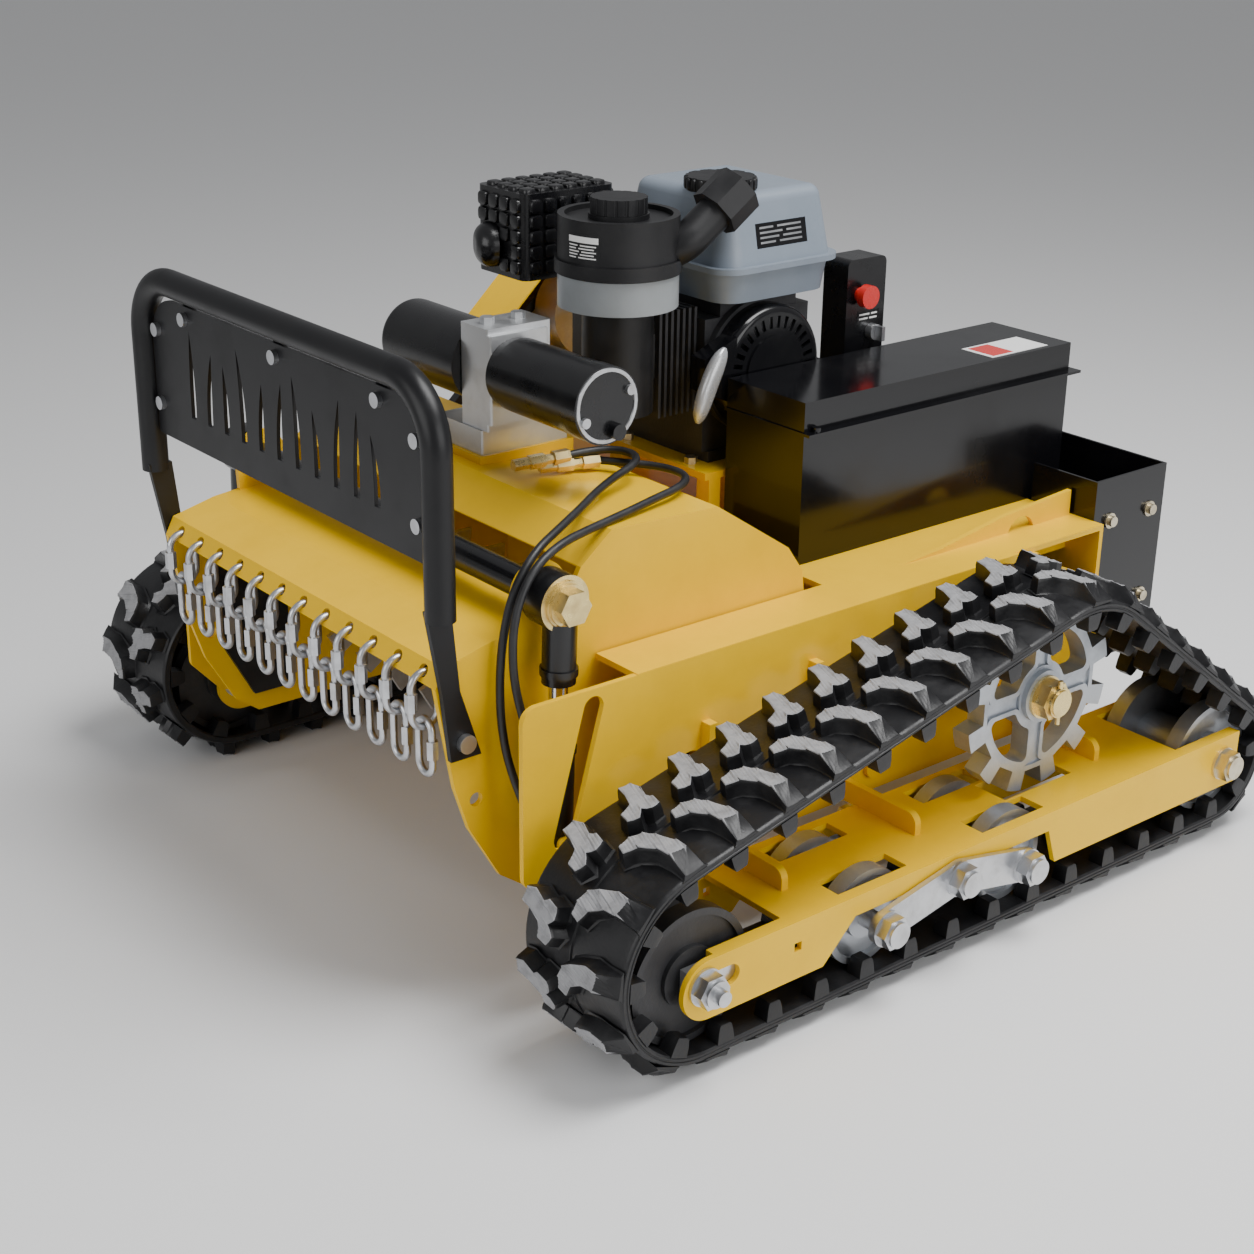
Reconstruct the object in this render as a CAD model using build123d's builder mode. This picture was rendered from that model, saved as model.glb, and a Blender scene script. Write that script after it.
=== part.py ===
"""Remote-controlled tracked flail mower, built as separate pieces.

Millimetres, +Z up.  -Y is the front, where the chain curtain hangs, and +X is the
side with the hydraulic hoses and the battery box.  Origin: centre of the footprint,
on the ground.  Side views are drawn on YZ planes, so their sketch axes are (Y, Z).
"""
from build123d import *
import math
import os

# ---------------------------------------------------------------- driving sizes
RUNNING = 0.05          # radial clearance of a shaft in its bore
SIDE_GAP = 0.3          # clearance between faces that pass each other

# rubber tracks
PITCH = 60.0            # lug spacing
BELT_WIDTH = 140.0
BELT_OUTER_X = 488.0    # outer edge of a track
CARCASS = 10.0          # belt thickness without lugs
LUG = 18.0              # tread lug height
DRIVE_LUG = 18.0        # inner lug height
LINKS = 35              # tread lugs in one row

# running gear, side view positions
IDLER_Y, IDLER_Z = -357.0, 96.0
WRAP_R = 90.0           # inner radius of the loose front wrap
WRAP_Y = -353.0
SPROCKET_Y, SPROCKET_Z = 143.0, 222.0
TEETH = 12
REAR_Y = 398.6
REAR_R = 62.0           # inner wrap radius at the rear idler
BOGIE_Y, BOGIE_Z = -35.0, 98.0
ROLLER_SPACING = 200.0
ROLLER_R = 50.0
AXLE_R = 10.0
TENSION_TRAVEL = 30.0

# track frames (inverted channels)
FRAME_OUT_X = 486.0
FRAME_IN_X = 352.0
FRAME_WALL = 6.0
FRAME_TOP = 121.0
FRAME_BOTTOM = 60.0
FRAME_REAR = 425.0

# chassis
CHASSIS_X = 320.0       # outer face of the side plates
CHASSIS_WALL = 6.0
CHASSIS_FRONT = -433.0
CHASSIS_TOP = 325.0
FLANGE_W = 62.0
BOX_REAR = 495.0        # rear face of the machine
BOX_FRONT = 372.0
BOX_HALF = 300.0
BOX_TOP = 370.0

# mower deck
DECK_X = 255.0          # outer face of the deck side plates
DECK_WALL = 6.0
PIVOT_Y, PIVOT_Z = 16.0, 137.0
ROTOR_Y, ROTOR_Z = -215.0, 225.0
ROTOR_TUBE_R = 38.0
FLAIL_R = 103.0
FLAIL_ROWS = 3
FLAILS_PER_ROW = 8
CHAINS = 12
CHAIN_PITCH = 41.6
WIRE_R = 3.5
LINK_LENGTH = 54.0      # wire centre to wire centre
HOLE_Y, HOLE_Z = -475.5, 343.0
LINK_DROP = 0.9         # a hanging link sits this far below the centre of its hole

# lift linkage
LIFT_Y, LIFT_Z = -365.0, 401.0
RAM_Y, RAM_Z = -372.0, 165.0
RAM_X = 286.0
RAM_BORE = 13.0
ROD_R = 9.0
BARREL_LENGTH = 103.0

# front guard
GUARD_X = 266.0         # centre line of the hoop legs
GUARD_Y = -481.0
GUARD_TUBE = 14.0
GUARD_TOP = 628.0
GUARD_CORNER = 60.0
PLATE_BOTTOM, PLATE_TOP = 450.0, 596.0
PLATE_Y = -477.0        # rear face of the plate
PLATE_BOLTS = ((-237, 561), (-237, 484), (237, 561), (237, 484), (-177, 583), (0, 583), (177, 583))

# engine
CRANK_Y, CRANK_Z = 79.0, 498.0
PLATFORM_Z = 398.0
STARTER_X = 80.0
SHROUD_R = 74.0
STARTER_R = 70.0
GRIP_Y, GRIP_Z = -17.0, 498.0
BELT_X = -292.0         # centre plane of the drive belt
PULLEY_R = 45.0
V_BELT_WIDTH = 12.0
V_BELT_DEPTH = 11.7     # from the pulley's rim to the belt's inner face
FILTER_X, FILTER_Y = 42.0, -106.0
FILTER_R = 65.0
MUFFLER = (-136.0, -66.0, -142.0, -38.0, 604.0, 680.0)
TANK = (-108.0, 88.0, -1.0, 175.0)
TANK_SEAM, TANK_TOP = 612.0, 688.0

# power pack
PACK_Y, PACK_Z = -231.0, 535.0
PACK_TOP = 581.0
MOTOR_R = 37.5
PACK_BASE_Z = 450.0

# battery box
BATTERY_X0, BATTERY_X1 = 85.0, 203.0
BATTERY_Y0, BATTERY_Y1 = 10.0, 424.0
BATTERY_LID_Z, BATTERY_TOP = 466.0, 501.0

pieces = {}


def side(x):
    """Sketch plane whose axes are (Y, Z), at this X; extrusions go to +X."""
    return Plane.YZ.offset(x)


def front(y):
    """Sketch plane whose axes are (X, Z), at this Y; extrusions go to -Y."""
    return Plane.XZ.offset(-y)


def level(z):
    """Sketch plane whose axes are (X, Y), at this height; extrusions go up."""
    return Plane.XY.offset(z)


def disc(x0, x1, y, z, radius, mode=Mode.ADD):
    """Round bar along X, from x0 to x1."""
    with BuildSketch(side(x0)) as profile:
        with Locations((y, z)):
            Circle(radius)
    extrude(profile.sketch, amount=x1 - x0, mode=mode)


def hex_bar(x0, x1, y, z, across_flats, mode=Mode.ADD):
    """Hexagonal bar along X, from x0 to x1."""
    with BuildSketch(side(x0)) as profile:
        with Locations((y, z)):
            RegularPolygon(across_flats / 2, 6, major_radius=False)
    extrude(profile.sketch, amount=x1 - x0, mode=mode)


def block(x0, x1, y0, y1, z0, z1, mode=Mode.ADD):
    """Rectangular block between two corners."""
    with Locations(((x0 + x1) / 2, (y0 + y1) / 2, (z0 + z1) / 2)):
        Box(x1 - x0, y1 - y0, z1 - z0, mode=mode)


def outline(points, x0, x1, mode=Mode.ADD):
    """Flat plate with a straight-sided side-view outline, from x0 to x1."""
    with BuildSketch(side(x0)) as profile:
        Polygon(*points, align=None)
    extrude(profile.sketch, amount=x1 - x0, mode=mode)


def mirrored(name, right):
    """The left-hand copy of a right-hand piece."""
    with BuildPart() as left:
        mirror(right.part, about=Plane.YZ)
    pieces[name] = left


# ---------------------------------------------------------------- track geometry
BELT_IN_X = BELT_OUTER_X - BELT_WIDTH
BELT_MID_X = BELT_OUTER_X - BELT_WIDTH / 2
RIM_X = (BELT_MID_X - 49, BELT_MID_X - 31, BELT_MID_X + 31, BELT_MID_X + 49)
BELT_FLOOR = CARCASS + LUG                      # inner surface of the bottom run
SPROCKET_PITCH_R = TEETH * PITCH / (2 * math.pi)
PITCH_DEPTH = 0.75 * CARCASS                    # pitch line, out from the inner surface
SPROCKET_WRAP_R = SPROCKET_PITCH_R - PITCH_DEPTH
WRAPS = (
    (WRAP_Y, BELT_FLOOR + WRAP_R, WRAP_R),
    (REAR_Y, BELT_FLOOR + REAR_R, REAR_R),
    (SPROCKET_Y, SPROCKET_Z, SPROCKET_WRAP_R),
)


def wrap_angles():
    """Start angle and sweep of each wrap, counter-clockwise in (Y, Z)."""
    normals = []
    for i, (y0, z0, r0) in enumerate(WRAPS):
        y1, z1, r1 = WRAPS[(i + 1) % 3]
        span = math.hypot(y1 - y0, z1 - z0)
        normals.append(math.atan2(z1 - z0, y1 - y0) - math.acos((r0 - r1) / span))
    turns = []
    for i in range(3):
        start = normals[i - 1]
        turns.append((start, (normals[i] - start) % (2 * math.pi)))
    return turns


TURNS = wrap_angles()


def belt_loop(offset):
    """Closed path around the three wraps, this far out from the inner surface."""
    ends = []
    for (y, z, r), (start, sweep_angle) in zip(WRAPS, TURNS):
        reach = r + offset
        CenterArc((y, z), reach, math.degrees(start), math.degrees(sweep_angle))
        first = (y + reach * math.cos(start), z + reach * math.sin(start))
        stop = start + sweep_angle
        last = (y + reach * math.cos(stop), z + reach * math.sin(stop))
        ends.append((first, last))
    for i in range(3):
        Line(ends[i][1], ends[(i + 1) % 3][0])


def belt_places(count, shift, offset):
    """Evenly spaced places along the pitch line: (Y, Z, outward angle)."""
    stretches = []
    for i in range(3):
        y, z, r = WRAPS[i]
        start, turn = TURNS[i]
        stretches.append(("arc", y, z, r, start, (r + PITCH_DEPTH) * turn))
        y1, z1, r1 = WRAPS[(i + 1) % 3]
        angle = start + turn
        a = (y + r * math.cos(angle), z + r * math.sin(angle))
        b = (y1 + r1 * math.cos(angle), z1 + r1 * math.sin(angle))
        stretches.append(("run", a, b, 0, angle, math.dist(a, b)))
    total = sum(s[-1] for s in stretches)
    places = []
    for k in range(count):
        along = ((k + shift) * total / count) % total
        for kind, p, q, r, angle, length in stretches:
            if along <= length:
                break
            along -= length
        if kind == "arc":
            turned = angle + along / (r + PITCH_DEPTH)
            places.append((p + (r + offset) * math.cos(turned),
                           q + (r + offset) * math.sin(turned), math.degrees(turned)))
        else:
            y = p[0] + (q[0] - p[0]) * along / length + offset * math.cos(angle)
            z = p[1] + (q[1] - p[1]) * along / length + offset * math.sin(angle)
            places.append((y, z, math.degrees(angle)))
    return places


def sprocket_phase():
    """Share of a pitch that puts an inner lug straight above the sprocket."""
    lengths = []
    for i in range(3):
        y, z, r = WRAPS[i]
        start, turn = TURNS[i]
        lengths.append((r + PITCH_DEPTH) * turn)
        y1, z1, r1 = WRAPS[(i + 1) % 3]
        angle = start + turn
        a = (y + r * math.cos(angle), z + r * math.sin(angle))
        b = (y1 + r1 * math.cos(angle), z1 + r1 * math.sin(angle))
        lengths.append(math.dist(a, b))
    total = sum(lengths)
    start = TURNS[2][0]
    to_top = (math.pi / 2 - start) % (2 * math.pi)
    along = sum(lengths[:4]) + (SPROCKET_WRAP_R + PITCH_DEPTH) * to_top
    return (along * LINKS / total) % 1.0, total


LUG_PHASE, BELT_LENGTH = sprocket_phase()
print("belt length at the pitch line", round(BELT_LENGTH, 1), "for", LINKS * PITCH)


def belt_lugs(x0, x1, spots, base, height, angle, turn):
    """One row of lugs across the belt between x0 and x1, trimmed to the tread surface."""
    with BuildSketch(side(x0)) as profile:
        with Locations(*[Location((y, z), a + turn) for y, z, a in spots]):
            Trapezoid(base, height, angle)
        with BuildLine():
            belt_loop(CARCASS + LUG)
        make_face(mode=Mode.INTERSECT)
    extrude(profile.sketch, amount=x1 - x0)


def make_tracks():
    """Rubber belt with two staggered tread rows outside and drive lugs inside."""
    outer = CARCASS - 1 + (LUG + 1) / 2
    with BuildPart() as tracks:
        with BuildSketch(side(BELT_IN_X)):
            with BuildLine():
                belt_loop(CARCASS)
            make_face()
            with BuildLine():
                belt_loop(0)
            make_face(mode=Mode.SUBTRACT)
        extrude(amount=BELT_WIDTH)
        for x0, x1, shift in ((BELT_IN_X + 7, BELT_MID_X - 10, 0.5),
                              (BELT_MID_X + 2, BELT_OUTER_X, 0.0)):
            spots = belt_places(LINKS, LUG_PHASE + shift, outer)
            belt_lugs(x0, x1, spots, 34, LUG + 1, 70, -90)
        spots = belt_places(LINKS, LUG_PHASE, -DRIVE_LUG / 2 + 0.5)
        for x0, x1 in ((BELT_IN_X, RIM_X[0] - 3), (BELT_MID_X - 12, BELT_MID_X + 12),
                       (RIM_X[3] + 3, BELT_OUTER_X)):
            belt_lugs(x0, x1, spots, 20, DRIVE_LUG + 1, 80, 90)
        mirror(about=Plane.YZ)
    pieces["rubber_tracks"] = tracks


# ---------------------------------------------------------------- running gear
SPROCKET_TIP_R = SPROCKET_WRAP_R - 1.0
SPROCKET_ROOT_R = SPROCKET_WRAP_R - DRIVE_LUG - 5.0
SPROCKET_X0, SPROCKET_X1 = BELT_MID_X - 11.0, BELT_MID_X + 11.0
SHAFT_R = 14.0
WINDOW_IN_R, WINDOW_OUT_R = 37.0, 74.0


def window(angle, grow):
    """Kidney-shaped opening between two spokes, enlarged all round by grow."""
    r_in, r_out = WINDOW_IN_R - grow, WINDOW_OUT_R + grow
    half_in = 45 - math.degrees((12 - grow) / r_in)
    half_out = 45 - math.degrees((12 - grow) / r_out)
    centre = (SPROCKET_Y, SPROCKET_Z)
    with BuildLine() as edge:
        inner = CenterArc(centre, r_in, angle - half_in, 2 * half_in)
        outer = CenterArc(centre, r_out, angle - half_out, 2 * half_out)
        Line(inner @ 0, outer @ 0)
        Line(inner @ 1, outer @ 1)
    with BuildSketch() as opening:
        add(edge.line)
        make_face()
        fillet(opening.vertices(), 7)
    return opening.sketch


def make_sprocket():
    """Toothed wheel with four windows and a recessed web between its ribs."""
    openings = [window(45 + 90 * i, 0) for i in range(4)]
    borders = [window(45 + 90 * i, 5) for i in range(4)]
    with BuildPart() as right:
        with BuildSketch(side(SPROCKET_X0)):
            with Locations((SPROCKET_Y, SPROCKET_Z)):
                Circle(SPROCKET_TIP_R)
                gap_depth = SPROCKET_TIP_R + 2 - SPROCKET_ROOT_R
                with PolarLocations(SPROCKET_ROOT_R + gap_depth / 2, TEETH, start_angle=90):
                    Trapezoid(34, gap_depth, 78, rotation=90, mode=Mode.SUBTRACT)
            for opening in openings:
                add(opening, mode=Mode.SUBTRACT)
        extrude(amount=SPROCKET_X1 - SPROCKET_X0)
        for x0 in (SPROCKET_X0, SPROCKET_X1 - 3):
            with BuildSketch(side(x0)):
                with Locations((SPROCKET_Y, SPROCKET_Z)):
                    Circle(WINDOW_OUT_R + 5)
                    Circle(WINDOW_IN_R - 5, mode=Mode.SUBTRACT)
                for border in borders:
                    add(border, mode=Mode.SUBTRACT)
            extrude(amount=3, mode=Mode.SUBTRACT)
        disc(SPROCKET_X0 - 8, SPROCKET_X1 + 6, SPROCKET_Y, SPROCKET_Z, 28)
        disc(SPROCKET_X0 - 8, SPROCKET_X1 + 6, SPROCKET_Y, SPROCKET_Z, SHAFT_R, Mode.SUBTRACT)
    pieces["sprocket_right"] = right
    mirrored("sprocket_left", right)


def make_sprocket_shaft():
    """Drive shaft, castle nut and split pin."""
    x_hub = SPROCKET_X1 + 6
    with BuildPart() as right:
        disc(CHASSIS_X - CHASSIS_WALL - 40, x_hub + 24, SPROCKET_Y, SPROCKET_Z, SHAFT_R)
        disc(x_hub, x_hub + 3, SPROCKET_Y, SPROCKET_Z, 23)
        hex_bar(x_hub + 3, x_hub + 17, SPROCKET_Y, SPROCKET_Z, 36)
        disc(x_hub + 17, x_hub + 22, SPROCKET_Y, SPROCKET_Z, 16)
        with Locations(Location((x_hub + 19.5, SPROCKET_Y, SPROCKET_Z))):
            Cylinder(2.5, 48)
    pieces["sprocket_shaft_right"] = right
    mirrored("sprocket_shaft_left", right)


def spool(y, z, radius, name):
    """Twin-rimmed wheel with a hub that turns on a fixed axle."""
    with BuildPart() as right:
        disc(RIM_X[0], RIM_X[3], y, z, radius * 0.45)
        for x0, x1 in ((RIM_X[0], RIM_X[1]), (RIM_X[2], RIM_X[3])):
            disc(x0, x1, y, z, radius)
            inward = x1 - 5 if x0 > BELT_MID_X else x0 - 1
            disc(inward, inward + 6, y, z, radius - 7, Mode.SUBTRACT)
            disc(x0, x1, y, z, radius * 0.45)
        disc(RIM_X[0], RIM_X[3], y, z, AXLE_R + RUNNING, Mode.SUBTRACT)
    pieces[name + "_right"] = right
    mirrored(name + "_left", right)


def nut_stack(face_x, y, z, nut, stud, out=1):
    """Washer, hexagon nut, nylon collar and stud end, outward from a face."""
    disc(min(face_x, face_x + 3 * out), max(face_x, face_x + 3 * out), y, z, nut * 0.62)
    a, b = face_x + 3 * out, face_x + 15 * out
    hex_bar(min(a, b), max(a, b), y, z, nut)
    a, b = b, b + 4 * out
    disc(min(a, b), max(a, b), y, z, nut * 0.44)
    a, b = b, b + stud * out
    if stud:
        disc(min(a, b), max(a, b), y, z, AXLE_R * 0.75)


def make_tensioner():
    """Front axle with its sliding block, washers and nuts."""
    with BuildPart() as right:
        disc(FRAME_IN_X - 9, FRAME_OUT_X + 15, IDLER_Y, IDLER_Z, AXLE_R)
        nut_stack(FRAME_OUT_X + SIDE_GAP, IDLER_Y, IDLER_Z, 30, 9)
        disc(FRAME_IN_X - 3 - SIDE_GAP, FRAME_IN_X - SIDE_GAP, IDLER_Y, IDLER_Z, 18)
        hex_bar(FRAME_IN_X - 10, FRAME_IN_X - 3 - SIDE_GAP, IDLER_Y, IDLER_Z, 30)
        inner_face = FRAME_OUT_X - FRAME_WALL - SIDE_GAP
        block(RIM_X[3] + 4, inner_face, IDLER_Y - 16, IDLER_Y + 52, IDLER_Z - 12, IDLER_Z + 16)
    pieces["tensioner_right"] = right
    mirrored("tensioner_left", right)


def make_bogie():
    """Rocking link: two dog-leg plates, pivot pin, two roller pins and nuts."""
    ends = [(BOGIE_Y - ROLLER_SPACING / 2, BELT_FLOOR + ROLLER_R + SIDE_GAP),
            (BOGIE_Y, BOGIE_Z),
            (BOGIE_Y + ROLLER_SPACING / 2, BELT_FLOOR + ROLLER_R + SIDE_GAP)]
    with BuildPart() as right:
        for x0 in (FRAME_OUT_X + 2, FRAME_IN_X - 8):
            with BuildSketch(side(x0)):
                for a, b in ((ends[0], ends[1]), (ends[1], ends[2])):
                    with Locations(((a[0] + b[0]) / 2, (a[1] + b[1]) / 2)):
                        SlotOverall(math.dist(a, b) + 36, 36, rotation=math.degrees(
                            math.atan2(b[1] - a[1], b[0] - a[0])))
            extrude(amount=6)
        for y, z in ends:
            disc(FRAME_IN_X - 14, FRAME_OUT_X + 12, y, z, AXLE_R)
            nut_stack(FRAME_OUT_X + 8, y, z, 30, 0)
            hex_bar(FRAME_IN_X - 17, FRAME_IN_X - 8, y, z, 30)
    pieces["bogie_link_right"] = right
    mirrored("bogie_link_left", right)
    for name, (y, z) in (("front_roller", ends[0]), ("rear_roller", ends[2])):
        spool(y, z, ROLLER_R, name)


def make_idlers():
    spool(IDLER_Y, IDLER_Z, IDLER_Z - BELT_FLOOR - 2.4 * SIDE_GAP, "front_idler")
    spool(REAR_Y, BELT_FLOOR + REAR_R, REAR_R - SIDE_GAP, "rear_idler")


def make_track_frames():
    """Inverted channels with roller windows, slots, cut-away arches and gussets."""
    roller_y = (BOGIE_Y - ROLLER_SPACING / 2, BOGIE_Y + ROLLER_SPACING / 2)
    rear_z = BELT_FLOOR + REAR_R
    nose_r = (FRAME_TOP - FRAME_BOTTOM) / 2
    nose_z = FRAME_BOTTOM + nose_r
    nose_y = IDLER_Y + 6
    arch_z = 100.0
    arch_rear = roller_y[1] + 42
    with BuildPart() as frames:
        for x0 in (FRAME_IN_X, FRAME_OUT_X - FRAME_WALL):
            x1 = x0 + FRAME_WALL
            with BuildSketch(side(x0)):
                with BuildLine():
                    Polyline((nose_y, FRAME_BOTTOM), (roller_y[0] - 74, FRAME_BOTTOM),
                             (roller_y[0] - 34, arch_z), (arch_rear, arch_z),
                             (arch_rear + 14, FRAME_BOTTOM), (FRAME_REAR, FRAME_BOTTOM),
                             (FRAME_REAR, FRAME_TOP), (nose_y, FRAME_TOP))
                    ThreePointArc((nose_y, FRAME_TOP), (nose_y - nose_r, nose_z),
                                  (nose_y, FRAME_BOTTOM))
                make_face()
                with Locations((BOGIE_Y, BOGIE_Z)):
                    Circle(22)
                slot_mid = IDLER_Y + TENSION_TRAVEL / 2
                with Locations((slot_mid, IDLER_Z)):
                    SlotOverall(TENSION_TRAVEL + 2 * AXLE_R + 4, 2 * (AXLE_R + 0.3),
                                mode=Mode.SUBTRACT)
                with Locations((BOGIE_Y, BOGIE_Z), (REAR_Y, rear_z)):
                    Circle(AXLE_R + RUNNING, mode=Mode.SUBTRACT)
                with Locations((IDLER_Y + 114, FRAME_BOTTOM + 34)):
                    Rectangle(9, 9, mode=Mode.SUBTRACT)
            extrude(amount=FRAME_WALL)
        top0 = FRAME_TOP - FRAME_WALL
        block(FRAME_IN_X, FRAME_OUT_X, nose_y + 8, FRAME_REAR, top0, FRAME_TOP)
        wheel_rear = IDLER_Y + TENSION_TRAVEL + IDLER_Z - BELT_FLOOR + 6
        block(RIM_X[0] - 4, RIM_X[3] + 4, nose_y - 40, wheel_rear,
              top0 - 1, FRAME_TOP + 1, Mode.SUBTRACT)
        for y in roller_y:
            for x0, x1 in ((RIM_X[0], RIM_X[1]), (RIM_X[2], RIM_X[3])):
                block(x0 - 6, x1 + 6, y - 46, y + 46, top0 - 1, FRAME_TOP + 1, Mode.SUBTRACT)
        block(SPROCKET_X0 - 10, SPROCKET_X1 + 10, SPROCKET_Y - 52, SPROCKET_Y + 52,
              top0 - 1, FRAME_TOP + 1, Mode.SUBTRACT)
        block(RIM_X[0] - 5, RIM_X[3] + 5, REAR_Y - REAR_R - 8, FRAME_REAR + 1,
              top0 - 1, FRAME_TOP + 1, Mode.SUBTRACT)
        # gussets that carry the channel on the chassis side plate
        for y in (-215.0, -35.0, 240.0):
            with BuildSketch(front(y + 4)):
                with BuildLine():
                    Polyline((CHASSIS_X, FRAME_TOP - 1), (436, FRAME_TOP - 1),
                             (436, FRAME_TOP + 10))
                    RadiusArc((436, FRAME_TOP + 10), (424, FRAME_TOP + 22), -12)
                    Polyline((424, FRAME_TOP + 22), (CHASSIS_X, FRAME_TOP + 22),
                             (CHASSIS_X, FRAME_TOP - 1))
                make_face()
            extrude(amount=8)
        mirror(about=Plane.YZ)
    pieces["track_frames"] = frames


def make_travel_motors():
    """Electric gear motors bolted inside the chassis side plates."""
    face = CHASSIS_X - CHASSIS_WALL
    with BuildPart() as motors:
        disc(face - 12, face, SPROCKET_Y, SPROCKET_Z, 58)
        disc(face - 60, face - 12, SPROCKET_Y, SPROCKET_Z, 48)
        disc(face - 150, face - 60, SPROCKET_Y, SPROCKET_Z, 40)
        for i in range(5):
            x = face - 66 - 15 * i
            disc(x - 4, x, SPROCKET_Y, SPROCKET_Z, 43)
        disc(face - 41, face, SPROCKET_Y, SPROCKET_Z, SHAFT_R + RUNNING, Mode.SUBTRACT)
        mirror(about=Plane.YZ)
    pieces["travel_motors"] = motors


# ---------------------------------------------------------------- chassis
def chassis_plate():
    """Right side plate with its front ear, slanted slot, sight hole and flange."""
    x0 = CHASSIS_X - CHASSIS_WALL
    with BuildSketch(side(x0)) as profile:
        with BuildLine():
            FilletPolyline((CHASSIS_FRONT, 150), (-396, 108), (BOX_FRONT, 108),
                           (BOX_FRONT, 262), (225, CHASSIS_TOP), (-300, CHASSIS_TOP),
                           (-300, CHASSIS_TOP - 1), (CHASSIS_FRONT, CHASSIS_TOP - 1),
                           close=True, radius=[12, 20, 4, 10, 34, 0.3, 0.3, 16])
        make_face()
        with Locations(Location((-370, 244), 74.5)):
            SlotOverall(150, 23, mode=Mode.SUBTRACT)
        with Locations((-235, 202)):
            Circle(25, mode=Mode.SUBTRACT)
        with Locations((SPROCKET_Y, SPROCKET_Z)):
            Circle(SHAFT_R + 3, mode=Mode.SUBTRACT)
    extrude(profile.sketch, amount=CHASSIS_WALL)
    block(CHASSIS_X - FLANGE_W, CHASSIS_X, -302, 200, CHASSIS_TOP - 6, CHASSIS_TOP)


def make_chassis():
    with BuildPart() as frame:
        chassis_plate()
        # welded tabs ahead of the track's top run
        for y, z in ((-222, 235), (-83, 262)):
            block(CHASSIS_X, CHASSIS_X + 12, y, y + 10, z - 42, z + 20)
        # raised rear inner plate
        with BuildSketch(side(262)):
            with BuildLine():
                Polyline((100, 286), (368, 286), (368, 354), (260, 346), (160, 330),
                         (100, 325), close=True)
            make_face()
            with Locations((286, 318)):
                Circle(22, mode=Mode.SUBTRACT)
        extrude(amount=6)
        block(262, CHASSIS_X, 250, 256, 286, 319)
        mirror(about=Plane.YZ)
        x_in = CHASSIS_X - CHASSIS_WALL
        block(-x_in, x_in, -8, BOX_FRONT, CHASSIS_TOP - 6, CHASSIS_TOP)
        block(-x_in, x_in, 60, BOX_FRONT, 108, 114)
        for y in (58, 366):
            block(-x_in, x_in, y, y + 6, 108, CHASSIS_TOP)
        # engine platform on four posts
        block(-262, 80, -14, 172, PLATFORM_Z - 8, PLATFORM_Z)
        for x in (-250, -90, 60):
            block(x, x + 20, -8, 8, CHASSIS_TOP, PLATFORM_Z - 8)
            block(x, x + 20, 148, 168, CHASSIS_TOP, PLATFORM_Z - 8)
        # outboard bearing stand for the long drive shaft
        block(-190, -176, CRANK_Y - 26, CRANK_Y + 26, PLATFORM_Z, CRANK_Z + 26)
        disc(-191, -175, CRANK_Y, CRANK_Z, 12.5 + RUNNING, Mode.SUBTRACT)
        # belt passes the left flange here
        block(-CHASSIS_X + 8, -252, -200, 30, CHASSIS_TOP - 8, CHASSIS_TOP + 1, Mode.SUBTRACT)
        # deck pivot pins and lift pins
        for s in (-1, 1):
            a, b = s * (DECK_X - DECK_WALL - 6), s * (CHASSIS_X + 6)
            disc(min(a, b), max(a, b), PIVOT_Y, PIVOT_Z, 12)
            a, b = s * (RAM_X - 20), s * (CHASSIS_X + 4)
            disc(min(a, b), max(a, b), RAM_Y, RAM_Z, 8)
    pieces["chassis_frame"] = frame


def make_rear_box():
    with BuildPart() as box:
        block(-BOX_HALF, BOX_HALF, BOX_FRONT, BOX_REAR, 150, BOX_TOP)
        block(-BOX_HALF + 3, BOX_HALF - 3, BOX_FRONT + 3, BOX_REAR - 3, 153, BOX_TOP + 1,
              Mode.SUBTRACT)
        block(BATTERY_X0 - 6, BATTERY_X1 + 6, BOX_FRONT - 1, BOX_FRONT + 4, CHASSIS_TOP - 6,
              BOX_TOP + 1, Mode.SUBTRACT)
    pieces["rear_box"] = box


def make_frame_fasteners():
    """Rear axles with their nuts, and the bolts of the rear box, motors and platform."""
    z = BELT_FLOOR + REAR_R
    with BuildPart() as bolts:
        disc(FRAME_IN_X - 9, FRAME_OUT_X + 14, REAR_Y, z, AXLE_R)
        nut_stack(FRAME_OUT_X, REAR_Y, z, 30, 0)
        hex_bar(FRAME_IN_X - 9, FRAME_IN_X, REAR_Y, z, 30)
        for y in (400, 470):
            for z in (215, 320):
                disc(BOX_HALF, BOX_HALF + 2, y, z, 9)
                disc(BOX_HALF + 2, BOX_HALF + 7, y, z, 6)
        for i in range(4):
            angle = math.radians(45 + 90 * i)
            y = SPROCKET_Y + 46 * math.cos(angle)
            z = SPROCKET_Z + 46 * math.sin(angle)
            hex_bar(CHASSIS_X, CHASSIS_X + 6, y, z, 13)
        mirror(about=Plane.YZ)
        for x in (-70, 40):
            for y in (0, 160):
                with BuildSketch(level(PLATFORM_Z)):
                    with Locations((x, y)):
                        RegularPolygon(6.5, 6, major_radius=False)
                extrude(amount=7)
    pieces["frame_fasteners"] = bolts


# ---------------------------------------------------------------- mower deck
DECK_TOP_LINE = [(-481, 334), (-471, 353), (-422, 365), (-340, 374), (-318, 414),
                 (-282, 443), (-151, 438), (-55, 375), (-34, 346)]
DECK_FRONT_LINE = [(-386, 105), (-413, 125), (-447, 184), (-462, 230)]


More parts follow.
